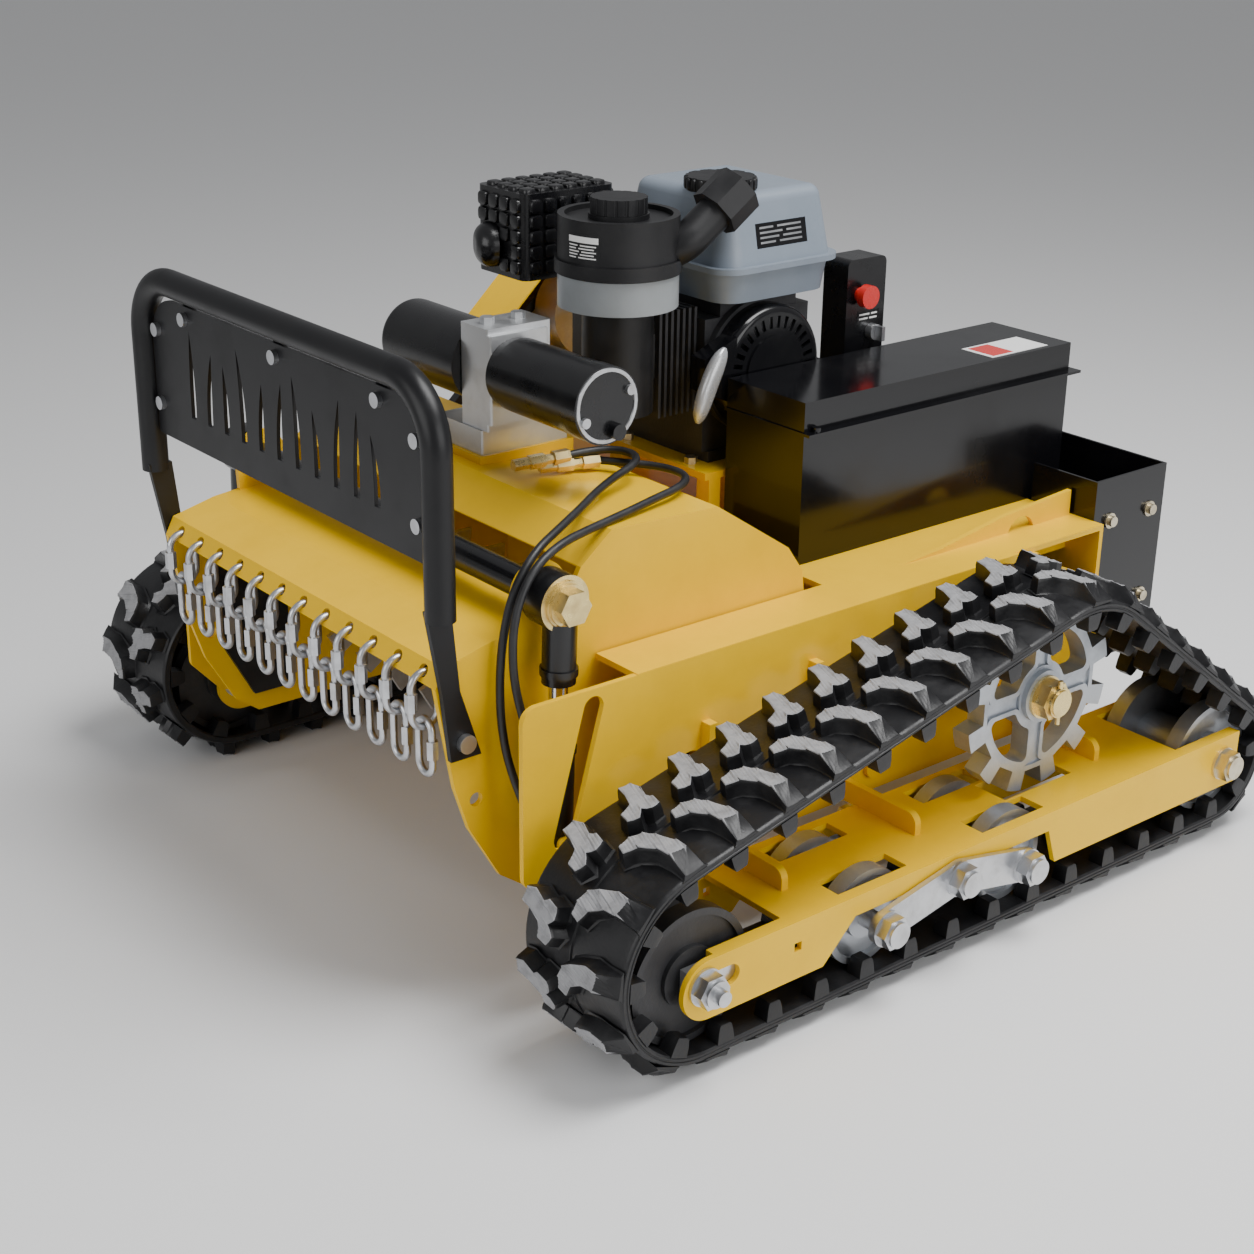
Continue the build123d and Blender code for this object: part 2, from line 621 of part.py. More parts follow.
def make_deck_shell():
    """Welded deck: side plates, chain lip, apron, hood, rear wall and ears."""
    rear = [(-8, 170), (PIVOT_Y + 24, PIVOT_Z + 12), (PIVOT_Y + 18, PIVOT_Z - 20), (-10, 105)]
    inner = [(-520, 60), (-520, 333.9), (-476.6, 333.9), (-467.7, 349.7), (-421, 361),
             (-342.4, 370.1), (-321.2, 411.2), (-280.6, 439), (-152.2, 434), (-58.2, 372.4),
             (-38, 346), (-38, 60)]
    x_in = DECK_X - DECK_WALL
    with BuildPart() as shell:
        outline(DECK_FRONT_LINE + DECK_TOP_LINE + rear, -DECK_X, DECK_X)
        outline(inner, -x_in, x_in, Mode.SUBTRACT)
        block(-x_in, x_in, -34, 80, 60, 360, Mode.SUBTRACT)
        for s in (-1, 1):
            x0 = x_in if s > 0 else -DECK_X
            disc(x0, x0 + DECK_WALL, PIVOT_Y, PIVOT_Z, 28)
            disc(x0, x0 + DECK_WALL, LIFT_Y, LIFT_Z, 30)
            outline([(-392, 350), (-394, 392), (-336, 392), (-330, 350)], x0, x0 + DECK_WALL)
        disc(-DECK_X, DECK_X, PIVOT_Y, PIVOT_Z, 12 + RUNNING, Mode.SUBTRACT)
        disc(-DECK_X, DECK_X, LIFT_Y, LIFT_Z, 15, Mode.SUBTRACT)
        disc(-DECK_X, DECK_X, ROTOR_Y, ROTOR_Z, 24, Mode.SUBTRACT)
        disc(-DECK_X, DECK_X, -439, 213, 7, Mode.SUBTRACT)
        # chain holes through the lip
        lip = Plane(origin=(0, HOLE_Y, HOLE_Z), x_dir=(1, 0, 0), z_dir=(0, -19, 10))
        with BuildSketch(lip):
            with GridLocations(CHAIN_PITCH, 1, CHAINS, 1):
                Circle(6.5)
        extrude(amount=12, both=True, mode=Mode.SUBTRACT)
        # folded bracket that carries the power pack
        block(-66, 24, PACK_Y - 36, PACK_Y + 82, 436, PACK_BASE_Z)
    pieces["deck_shell"] = shell


def make_rubber_flaps():
    x_in = DECK_X - DECK_WALL
    with BuildPart() as flaps:
        for x0 in (-x_in, x_in - 5):
            outline([(-440, 318), (-425, 190), (-392, 128), (-345, 128), (-345, 318)],
                    x0, x0 + 5)
    pieces["rubber_flaps"] = flaps


def make_guard_frame():
    """Bent tube hoop with flattened legs bolted outside the deck plates."""
    foot = 405.0
    with BuildPart() as hoop:
        with BuildLine() as path:
            FilletPolyline((-GUARD_X, GUARD_Y, foot), (-GUARD_X, GUARD_Y, GUARD_TOP - GUARD_TUBE),
                           (GUARD_X, GUARD_Y, GUARD_TOP - GUARD_TUBE),
                           (GUARD_X, GUARD_Y, foot), radius=GUARD_CORNER)
        with BuildSketch(Plane(path.line @ 0, z_dir=path.line % 0)):
            Circle(GUARD_TUBE)
        sweep()
        leg = [(GUARD_Y - 12, foot + 8), (GUARD_Y + 14, foot + 8), (-459, 330), (-437, 262),
               (-470, 262), (-478, 330)]
        for x0 in (-DECK_X - 7, DECK_X + 1):
            outline(leg, x0, x0 + 6)
            disc(x0, x0 + 6, -455, 278, 5, Mode.SUBTRACT)
        for x0 in (-DECK_X - 1, DECK_X):
            disc(x0, x0 + 1, -455, 278, 12)
            disc(x0, x0 + 1, -455, 278, 5, Mode.SUBTRACT)
    pieces["guard_frame"] = hoop


def make_guard_plate():
    """Front plate with see-through slots shaped like blades of grass, and its lugs."""
    half = GUARD_X - GUARD_TUBE - 3
    with BuildPart() as plate:
        with BuildSketch(front(PLATE_Y)):
            with BuildLine():
                FilletPolyline((-half, PLATE_BOTTOM), (half, PLATE_BOTTOM), (half, PLATE_TOP),
                               (-half, PLATE_TOP), close=True, radius=[3, 3, 46, 46])
            make_face()
            for i in range(11):
                x = -170 + 34 * i
                lean = 9 * math.sin(1.7 * i)
                tall = 78 + 14 * math.sin(2.3 * i + 1)
                with BuildLine():
                    base = PLATE_BOTTOM + 32
                    Line((x - 5, base), (x + 5, base))
                    ThreePointArc((x + 5, base), (x + 5 + lean * 0.2, base + tall * 0.5),
                                  (x + lean, base + tall))
                    ThreePointArc((x + lean, base + tall),
                                  (x - 4 + lean * 0.2, base + tall * 0.5), (x - 5, base))
                make_face(mode=Mode.SUBTRACT)
        extrude(amount=4)
        # lugs behind the plate that reach the tube
        for x, z in PLATE_BOLTS:
            if abs(x) > 200:
                gap = 3 if z > GUARD_TOP - GUARD_CORNER - 20 else 0.4
                reach = math.copysign(GUARD_X - GUARD_TUBE - gap, x)
                block(min(x - 9, reach), max(x + 9, reach), PLATE_Y, PLATE_Y + 5, z - 9, z + 9)
            else:
                tip = GUARD_TOP - 2 * GUARD_TUBE - 0.4
                block(x - 9, x + 9, PLATE_Y, PLATE_Y + 5, z - 9, tip)
    pieces["guard_plate"] = plate


def make_guard_bolts():
    """Button-head bolts of the plate, and the bolts that hold the hoop's legs."""
    with BuildPart() as bolts:
        with BuildSketch(front(PLATE_Y - 4)):
            with Locations(*PLATE_BOLTS):
                Circle(7)
        extrude(amount=5)
        for x0 in (-DECK_X - 13, DECK_X + 7):
            disc(x0, x0 + 6, -455, 278, 9)
        for x0 in (-DECK_X - 7, DECK_X + 1):
            disc(x0, x0 + 6, -455, 278, 5)
    pieces["guard_bolts"] = bolts


def quick_link(width):
    """Oval wire link hanging from the origin, in the YZ plane, with a sleeve nut."""
    bend = width / 2
    straight = LINK_LENGTH - width
    with BuildPart() as link:
        with BuildLine(Plane.YZ) as path:
            ThreePointArc((-bend, -bend), (0, 0), (bend, -bend))
            Line((bend, -bend), (bend, -bend - straight))
            ThreePointArc((bend, -bend - straight), (0, -LINK_LENGTH), (-bend, -bend - straight))
            Line((-bend, -bend - straight), (-bend, -bend))
        with BuildSketch(Plane.XZ.offset(0)):
            Circle(WIRE_R)
        sweep()
        with BuildSketch(level(-LINK_LENGTH / 2 - 9)):
            with Locations((0, -bend)):
                RegularPolygon(WIRE_R + 1.6, 6, major_radius=False)
        extrude(amount=18)
    return link.part


def make_chains():
    """Two rows of quick links: the upper row hangs in the lip's holes."""
    upper_link = quick_link(29)
    lower_link = quick_link(22).rotate(Axis.Z, 90)
    lower_z = HOLE_Z - LINK_DROP - LINK_LENGTH + 2 * WIRE_R + SIDE_GAP
    with BuildPart() as upper:
        with Locations(*[(CHAIN_PITCH * (i - (CHAINS - 1) / 2), HOLE_Y, HOLE_Z - LINK_DROP)
                         for i in range(CHAINS)]):
            add(upper_link)
    pieces["chain_links_upper"] = upper
    with BuildPart() as lower:
        with Locations(*[(CHAIN_PITCH * (i - (CHAINS - 1) / 2), HOLE_Y, lower_z)
                         for i in range(CHAINS)]):
            add(lower_link)
    pieces["chain_links_lower"] = lower


# ---------------------------------------------------------------- flail rotor
def make_rotor():
    """Rotor tube with stub shafts, and paired lugs that carry the flails."""
    x_end = DECK_X - DECK_WALL - 8
    lug_pitch = 2 * (x_end - 24) / (FLAILS_PER_ROW - 1)
    with BuildPart() as rotor:
        disc(-x_end, x_end, ROTOR_Y, ROTOR_Z, ROTOR_TUBE_R)
        disc(BELT_X - 15, DECK_X + 24, ROTOR_Y, ROTOR_Z, 20)
        for row in range(FLAIL_ROWS):
            angle = math.radians(90 + 360 / FLAIL_ROWS * row)
            uy, uz = math.cos(angle), math.sin(angle)
            ring = [(ROTOR_Y + 30 * uy - 14 * uz, ROTOR_Z + 30 * uz + 14 * uy),
                    (ROTOR_Y + 62 * uy - 10 * uz, ROTOR_Z + 62 * uz + 10 * uy),
                    (ROTOR_Y + 62 * uy + 10 * uz, ROTOR_Z + 62 * uz - 10 * uy),
                    (ROTOR_Y + 30 * uy + 14 * uz, ROTOR_Z + 30 * uz - 14 * uy)]
            for i in range(FLAILS_PER_ROW):
                x = -x_end + 24 + lug_pitch * i
                outline(ring, x - 9, x - 3 - SIDE_GAP)
                outline(ring, x + 3 + SIDE_GAP, x + 9)
                disc(x - 9, x + 9, ROTOR_Y + 52 * uy, ROTOR_Z + 52 * uz, 4 + RUNNING,
                     Mode.SUBTRACT)
    pieces["flail_rotor"] = rotor
    with BuildPart() as flails:
        for row in range(FLAIL_ROWS):
            angle = math.radians(90 + 360 / FLAIL_ROWS * row)
            uy, uz = math.cos(angle), math.sin(angle)
            for i in range(FLAILS_PER_ROW):
                x = -x_end + 24 + lug_pitch * i
                outline([(ROTOR_Y + 42 * uy - 9 * uz, ROTOR_Z + 42 * uz + 9 * uy),
                         (ROTOR_Y + FLAIL_R * uy - 15 * uz, ROTOR_Z + FLAIL_R * uz + 15 * uy),
                         (ROTOR_Y + FLAIL_R * uy + 15 * uz, ROTOR_Z + FLAIL_R * uz - 15 * uy),
                         (ROTOR_Y + 42 * uy + 9 * uz, ROTOR_Z + 42 * uz - 9 * uy)],
                        x - 3, x + 3)
                disc(x - 11, x + 11, ROTOR_Y + 52 * uy, ROTOR_Z + 52 * uz, 4)
    pieces["flail_blades"] = flails


def grooved_pulley(x_mid, y, z, radius, bore):
    """V-belt pulley on a shaft along X."""
    disc(x_mid - 12, x_mid + 12, y, z, radius)
    mouth, floor = V_BELT_WIDTH / 2 + 3.0, V_BELT_WIDTH / 2 + 0.4
    bottom = y - radius + V_BELT_DEPTH + 0.3
    with BuildSketch(level(z)) as groove:
        Polygon((x_mid - mouth, y - radius - 1), (x_mid + mouth, y - radius - 1),
                (x_mid + floor, bottom), (x_mid - floor, bottom), align=None)
    revolve(groove.sketch, axis=Axis((x_mid, y, z), (1, 0, 0)), mode=Mode.SUBTRACT)
    disc(x_mid - 12, x_mid + 12, y, z, bore, Mode.SUBTRACT)


def make_rotor_pulley():
    with BuildPart() as pulley:
        grooved_pulley(BELT_X, ROTOR_Y, ROTOR_Z, PULLEY_R, 20)
    pieces["rotor_pulley"] = pulley


def make_rotor_bearings():
    with BuildPart() as bearings:
        for x0 in (-DECK_X - 16, DECK_X):
            disc(x0, x0 + 16, ROTOR_Y, ROTOR_Z, 38)
            disc(x0, x0 + 16, ROTOR_Y, ROTOR_Z, 20 + RUNNING, Mode.SUBTRACT)
            for i in range(4):
                angle = math.radians(45 + 90 * i)
                y, z = ROTOR_Y + 31 * math.cos(angle), ROTOR_Z + 31 * math.sin(angle)
                a = x0 - 5 if x0 < 0 else x0 + 16
                hex_bar(a, a + 5, y, z, 10)
    pieces["rotor_bearings"] = bearings


# ---------------------------------------------------------------- lift linkage
LEAN = math.degrees(math.atan2(LIFT_Y - RAM_Y, LIFT_Z - RAM_Z))


def ram_plane(along, x=RAM_X):
    """Plane across the ram, this far up from its lower pin."""
    lean = math.radians(LEAN)
    up = (0, math.sin(lean), math.cos(lean))
    return Plane(origin=(x, RAM_Y + along * up[1], RAM_Z + along * up[2]),
                 x_dir=(1, 0, 0), z_dir=up)


def ram_rod(along, length, radius, mode=Mode.ADD):
    with BuildSketch(ram_plane(along)) as profile:
        Circle(radius)
    extrude(profile.sketch, amount=length, mode=mode)


def make_lift():
    """Cross shaft, ball-joint rod ends, and a hydraulic ram on each side."""
    length = math.dist((RAM_Y, RAM_Z), (LIFT_Y, LIFT_Z))
    with BuildPart() as shaft:
        disc(-DECK_X - 44, DECK_X + 44, LIFT_Y, LIFT_Z, 15 - 0.02)
    pieces["cross_shaft"] = shaft
    with BuildPart() as ends:
        ram_rod(length - 78, 60, 16)
        ram_rod(length - 70, 7, 18)
        disc(DECK_X + 8, DECK_X + 38, LIFT_Y, LIFT_Z, 27)
        disc(DECK_X + 38, DECK_X + 41, LIFT_Y, LIFT_Z, 22)
        disc(DECK_X + 41, DECK_X + 44, LIFT_Y, LIFT_Z, 20)
        hex_bar(DECK_X + 44, DECK_X + 55, LIFT_Y, LIFT_Z, 30)
        ram_rod(length - 79, 45, ROD_R + 3.5, Mode.SUBTRACT)
        disc(DECK_X + 8, DECK_X + 44, LIFT_Y, LIFT_Z, 15, Mode.SUBTRACT)
        mirror(about=Plane.YZ)
    pieces["rod_ends"] = ends
    with BuildPart() as barrels:
        disc(RAM_X - 14, RAM_X + 14, RAM_Y, RAM_Z, 15)
        ram_rod(8, BARREL_LENGTH - 8, RAM_BORE + 4)
        ram_rod(BARREL_LENGTH - 14, 6, RAM_BORE + 5.5)
        for z in (168, 242):
            block(RAM_X - 7, RAM_X + 7, -404, RAM_Y, z, z + 18)
        ram_rod(18, BARREL_LENGTH - 28, RAM_BORE, Mode.SUBTRACT)
        ram_rod(BARREL_LENGTH - 12, 14, ROD_R + RUNNING, Mode.SUBTRACT)
        disc(RAM_X - 30, RAM_X + 25, RAM_Y, RAM_Z, 8 + RUNNING, Mode.SUBTRACT)
        mirror(about=Plane.YZ)
    pieces["lift_barrels"] = barrels
    with BuildPart() as rods:
        ram_rod(70, length - 70 - 52, ROD_R)
        ram_rod(66, 8, RAM_BORE - RUNNING)
        mirror(about=Plane.YZ)
    pieces["lift_rods"] = rods


# ---------------------------------------------------------------- power pack
def make_power_pack():
    """Valve block on its base, the pump motor on one side and the tank on the other."""
    with BuildPart() as manifold:
        block(-62, 20, PACK_Y - 31, PACK_Y + 78, PACK_BASE_Z, PACK_BASE_Z + 26)
        block(-18, 28, PACK_Y - 29, PACK_Y + 50, PACK_BASE_Z + 26, PACK_TOP)
        block(28, 34, PACK_Y - 29, PACK_Y + 42, PACK_BASE_Z + 34, PACK_TOP - 6)
        chamfer(manifold.part.edges().filter_by(Axis.Z), 1.5)
        for y in (PACK_Y - 12, PACK_Y + 26):
            with BuildSketch(level(PACK_TOP)):
                with Locations((5, y)):
                    RegularPolygon(6.5, 6, major_radius=False)
            extrude(amount=7)
    pieces["pump_manifold"] = manifold
    with BuildPart() as motor:
        disc(34, 46, PACK_Y, PACK_Z, MOTOR_R - 2)
        disc(46, 160, PACK_Y, PACK_Z, MOTOR_R)
        disc(160, 182, PACK_Y, PACK_Z, MOTOR_R + 1)
        for i in (-1, 1):
            disc(182, 186, PACK_Y + 27 * i, PACK_Z + 12 * i, 5)
        disc(182, 190, PACK_Y + 10, PACK_Z - 26, 8)
    pieces["pump_motor"] = motor
    with BuildPart() as tank:
        disc(-152, -18, PACK_Y, PACK_Z, MOTOR_R + 3)
        fillet(tank.part.faces().sort_by(Axis.X)[0].edges(), 8)
    pieces["oil_reservoir"] = tank


HOSE_R = 4.0
HOSES = (
    ((92, -208, 459), (97, -182, 461), (114, -161, 462), (140, -158, 462), (160, -178, 461),
     (172, -210, 459), (192, -248, 458), (218, -290, 455), (240, -332, 450), (257, -372, 442),
     (265, -402, 414), (267, -416, 372), (267, -420, 324), (268, -418, 276), (274, -410, 230),
     (285, -398, 187.5)),
    ((100, -176, 450), (124, -158, 450), (158, -136, 450), (192, -136, 450), (214, -162, 450),
     (226, -204, 450), (238, -252, 448), (250, -302, 447), (264, -350, 446), (274, -388, 432),
     (278, -410, 398), (281, -416, 352), (284, -410, 306), (286, -396, 261.4)),
)
CRIMP_LINES = (((84, -270, 458), (92, -208, 459)), ((84, -238, 450), (100, -176, 450)))


def hose_radii(points):
    """Bend radius at each inner point: 0.45 of the shorter run over tan(half turn)."""
    radii = []
    for a, b, c in zip(points, points[1:], points[2:]):
        before, after = Vector(*b) - Vector(*a), Vector(*c) - Vector(*b)
        turn = math.radians(before.get_angle(after))
        radii.append(0.45 * min(before.length, after.length) / math.tan(turn / 2))
    return radii


def make_hoses():
    """Two hoses from the power pack, down beside the deck to the right-hand ram."""
    with BuildPart() as hoses:
        for points in HOSES:
            radii = hose_radii(points)
            print("hose radii", [round(r) for r in radii])
            with BuildLine() as path:
                FilletPolyline(*points, radius=radii)
            with BuildSketch(Plane(path.line @ 0, z_dir=path.line % 0)):
                Circle(HOSE_R)
            sweep(path=path.line)
    pieces["hydraulic_hoses"] = hoses
    with BuildPart() as fittings:
        for start, end in CRIMP_LINES:
            span = Vector(*end) - Vector(*start)
            for share, radius in ((0.0, 6.0), (0.28, 7.5), (0.5, 5.0), (0.72, 7.5)):
                with BuildSketch(Plane(Vector(*start) + span * share, z_dir=span)) as ring:
                    RegularPolygon(radius, 6)
                extrude(ring.sketch, amount=span.length * 0.28)
    pieces["hose_fittings"] = fittings


# ---------------------------------------------------------------- engine
def make_engine_block():
    """Crankcase, finned cylinder, valve cover, base and fan shroud."""
    with BuildPart() as engine:
        block(-88, 48, 8, 158, PLATFORM_Z + 12, 556)
        block(-92, 52, 14, 152, PLATFORM_Z, PLATFORM_Z + 12)
        block(-72, 32, -52, 8, 462, 560)
        for i in range(7):
            y = -48 + 8 * i
            block(-80, 40, y, y + 3.5, 456, 570)
        block(-70, 4, -78, -52, 474, 566)
        disc(-104, -88, CRANK_Y, CRANK_Z, 52)
        disc(48, 56, CRANK_Y, CRANK_Z, SHROUD_R)
        disc(-110, 60, CRANK_Y, CRANK_Z, 12.5 + RUNNING, Mode.SUBTRACT)
        block(-60, 47, 30, 140, 556, 576)
    pieces["engine_block"] = engine


def make_starter():
    """Recoil starter cover with vent slots and a rope lobe, and its pull grip."""
    rope = (GRIP_Y + 12, GRIP_Z + 8)
    with BuildPart() as cover:
        disc(56, STARTER_X, CRANK_Y, CRANK_Z, STARTER_R)
        fillet(cover.part.faces().sort_by(Axis.X)[-1].edges(), 8)
        outline([(rope[0] - 14, 488), (rope[0] - 14, 524), (26, 542), (22, 470)], 58, STARTER_X)
        disc(50, STARTER_X - 4, CRANK_Y, CRANK_Z, STARTER_R - 6, Mode.SUBTRACT)
        with BuildSketch(side(STARTER_X - 10)):
            with Locations((CRANK_Y, CRANK_Z)):
                with PolarLocations(52, 30):
                    Rectangle(13, 5)
        extrude(amount=20, mode=Mode.SUBTRACT)
        disc(STARTER_X - 4, STARTER_X + 2, CRANK_Y, CRANK_Z, 38)
        disc(50, STARTER_X + 1, rope[0], rope[1], 3.5, Mode.SUBTRACT)
    pieces["starter_cover"] = cover
    with BuildPart() as grip:
        with BuildSketch(side(STARTER_X + SIDE_GAP)):
            with Locations(Location((GRIP_Y, GRIP_Z), 65)):
                SlotOverall(84, 22)
        extrude(amount=17)
        disc(STARTER_X - 38, STARTER_X + 5, rope[0], rope[1], 3)
    pieces["starter_grip"] = grip


def make_crankshaft():
    """Crankshaft with flywheel fan, clutch drum and drive pulley."""
    with BuildPart() as crank:
        disc(BELT_X - 14, 62, CRANK_Y, CRANK_Z, 12.5)
        disc(60, 66, CRANK_Y, CRANK_Z, STARTER_R - 8)
        grooved_pulley(BELT_X, CRANK_Y, CRANK_Z, PULLEY_R, 12)
        disc(BELT_X + 12, BELT_X + 52, CRANK_Y, CRANK_Z, 52)
    pieces["crankshaft"] = crank


def make_drive_belt():
    dy, dz = ROTOR_Y - CRANK_Y, ROTOR_Z - CRANK_Z
    span, angle = math.hypot(dy, dz), math.degrees(math.atan2(dz, dy))
    mid = ((ROTOR_Y + CRANK_Y) / 2, (ROTOR_Z + CRANK_Z) / 2)
    with BuildPart() as belt:
        with BuildSketch(side(BELT_X - V_BELT_WIDTH / 2)):
            with Locations(Location(mid, angle)):
                SlotCenterToCenter(span, 2 * (PULLEY_R - 1))
                SlotCenterToCenter(span, 2 * (PULLEY_R - V_BELT_DEPTH), mode=Mode.SUBTRACT)
        extrude(amount=V_BELT_WIDTH)
    pieces["drive_belt"] = belt


def make_belt_guard():
    """Yellow cover over the upper pulley, open below and towards the engine."""
    dy, dz = ROTOR_Y - CRANK_Y, ROTOR_Z - CRANK_Z
    angle = math.degrees(math.atan2(dz, dy))
    unit = (math.cos(math.radians(angle)), math.sin(math.radians(angle)))
    reach = 110.0
    mid = (CRANK_Y + unit[0] * reach / 2, CRANK_Z + unit[1] * reach / 2)
    with BuildPart() as guard:
        with BuildSketch(side(BELT_X - 18)):
            with Locations(Location(mid, angle)):
                SlotCenterToCenter(reach, 176)
        extrude(amount=72)
        with BuildSketch(side(BELT_X - 16)):
            with Locations(Location(mid, angle)):
                SlotCenterToCenter(reach, 172)
        extrude(amount=74, mode=Mode.SUBTRACT)
        cut = (CRANK_Y + unit[0] * (reach + 60), CRANK_Z + unit[1] * (reach + 60))
        with BuildSketch(side(BELT_X - 20)):
            with Locations(Location(cut, angle)):
                Rectangle(120, 260)
        extrude(amount=90, mode=Mode.SUBTRACT)
        block(-264, -220, -20, 180, 300, PLATFORM_Z, Mode.SUBTRACT)
    pieces["belt_guard"] = guard


def make_muffler():
    """Muffler can with its neck, heat guard around it and the spark arrestor dome."""
    x0, x1, y0, y1, z0, z1 = MUFFLER
    with BuildPart() as muffler:
        block(x0 - 8, x1 + 8, y0 - 8, y1 + 8, z0 - 6, z1 + 8)
        fillet(muffler.part.edges().filter_by(Axis.Z), 10)
        block(x0 - 0.5, x1 + 0.5, y0 - 0.5, y1 + 0.5, z0 - 7, z1 + 0.5, Mode.SUBTRACT)
        block(x1 - 16, x1 + 16, -54, -18, z0 - 16, z0 + 40, Mode.SUBTRACT)
        block(x0, x1, y0, y1, z0, z1)
        block(x1, x1 + 12, -48, -24, 570 + SIDE_GAP, z0 + 34)
        with BuildSketch(Plane(origin=(x0 + 20, y0 - 4, z0 + 24), x_dir=(1, -0.45, 0),
                               z_dir=(-0.45, -1, 0))) as dome:
            Circle(24)
        extrude(dome.sketch, amount=22)
        fillet(muffler.part.faces().sort_by(Axis.Y)[0].edges(), 17)
    pieces["muffler"] = muffler


def make_air_filter():
    """Oil-bath air cleaner: column, core, head, elbow and ribbed pre-cleaner."""
    bowl_z, head_z, top_z = 592.0, 626.0, 682.0
    with BuildPart() as body:
        with BuildLine() as path:
            FilletPolyline((FILTER_X + 22, FILTER_Y + 24, head_z + 8),
                           (FILTER_X + 46, FILTER_Y + 52, head_z + 28),
                           (FILTER_X + 49, FILTER_Y + 84, head_z + 53), radius=34)
        with BuildSketch(Plane(path.line @ 0, z_dir=path.line % 0)):
            Circle(19)
        sweep(path=path.line)
        with BuildSketch(Plane(path.line @ 1, z_dir=path.line % 1)):
            RegularPolygon(28, 8)
        extrude(amount=38)
        with BuildSketch(level(bowl_z - 20)):
            with Locations((FILTER_X, FILTER_Y)):
                Circle(FILTER_R - 1)
        extrude(amount=head_z - 2 - bowl_z + 20, mode=Mode.SUBTRACT)
        for z0, z1, radius in ((476, bowl_z - 3, 37), (bowl_z - 4, head_z, 30),
                               (head_z, top_z, FILTER_R - 3), (head_z - 2, head_z + 12, FILTER_R)):
            with BuildSketch(level(z0)):
                with Locations((FILTER_X, FILTER_Y)):
                    Circle(radius)
            extrude(amount=z1 - z0)
        with BuildSketch(level(top_z)):
            with Locations((FILTER_X, FILTER_Y)):
                Circle(FILTER_R - 10)
                Circle(31, mode=Mode.SUBTRACT)
        extrude(amount=-5, mode=Mode.SUBTRACT)
        block(8, 38, FILTER_Y + 24, -52 - SIDE_GAP, 500, 548)
    pieces["air_filter_body"] = body
    with BuildPart() as bowl:
        with BuildSketch(level(bowl_z - 3)):
            with Locations((FILTER_X, FILTER_Y)):
                Circle(FILTER_R - 3)
        extrude(amount=head_z - bowl_z)
        with BuildSketch(level(bowl_z)):
            with Locations((FILTER_X, FILTER_Y)):
                Circle(FILTER_R - 6)
        extrude(amount=40, mode=Mode.SUBTRACT)
        with BuildSketch(level(bowl_z - 4)):
            with Locations((FILTER_X, FILTER_Y)):
                Circle(30)
        extrude(amount=5, mode=Mode.SUBTRACT)
    pieces["filter_bowl"] = bowl
    with BuildPart() as knob:
        with BuildSketch(level(top_z + SIDE_GAP)):
            with Locations((FILTER_X, FILTER_Y)):
                Circle(29)
                with PolarLocations(30, 16):
                    Circle(2.2, mode=Mode.SUBTRACT)
        extrude(amount=16)
    pieces["filter_knob"] = knob


def make_fuel_tank():
    x0, x1, y0, y1 = TANK
    with BuildPart() as tank:
        for z0, z1, inset, taper in ((576, TANK_SEAM - 3, 12, -10), (TANK_SEAM + 3, TANK_TOP, 7, 12)):
            with BuildSketch(level(z0)):
                with Locations(((x0 + x1) / 2, (y0 + y1) / 2)):
                    RectangleRounded(x1 - x0 - 2 * inset, y1 - y0 - 2 * inset, 26)
            extrude(amount=z1 - z0, taper=taper)
        with BuildSketch(level(TANK_SEAM - 3)):
            with Locations(((x0 + x1) / 2, (y0 + y1) / 2)):
                RectangleRounded(x1 - x0, y1 - y0, 30)
        extrude(amount=6)
        fillet(tank.part.faces().sort_by(Axis.Z)[-1].edges(), 14)
    pieces["fuel_tank"] = tank
    with BuildPart() as cap:
        with BuildSketch(level(TANK_TOP + SIDE_GAP)):
            with Locations((30, 40)):
                Circle(37)
                with PolarLocations(38, 12):
                    Circle(3.5, mode=Mode.SUBTRACT)
        extrude(amount=14)
    pieces["fuel_cap"] = cap


def make_control_panel():
    with BuildPart() as panel:
        block(22, 60, 206, 266, CHASSIS_TOP, 596)
        fillet(panel.part.edges().filter_by(Axis.X).group_by(Axis.Z)[-1], 8)
        disc(48, 62, 226, 556, 8.3, Mode.SUBTRACT)
    pieces["control_panel"] = panel
    with BuildPart() as key:
        disc(60 + SIDE_GAP, 70, 246, 512, 9)
        block(70, 81, 243.5, 248.5, 504, 520)
    pieces["key_switch"] = key
    with BuildPart() as stop:
        disc(53, 68, 226, 556, 8)
        disc(68, 78, 226, 556, 13)
    pieces["stop_button"] = stop


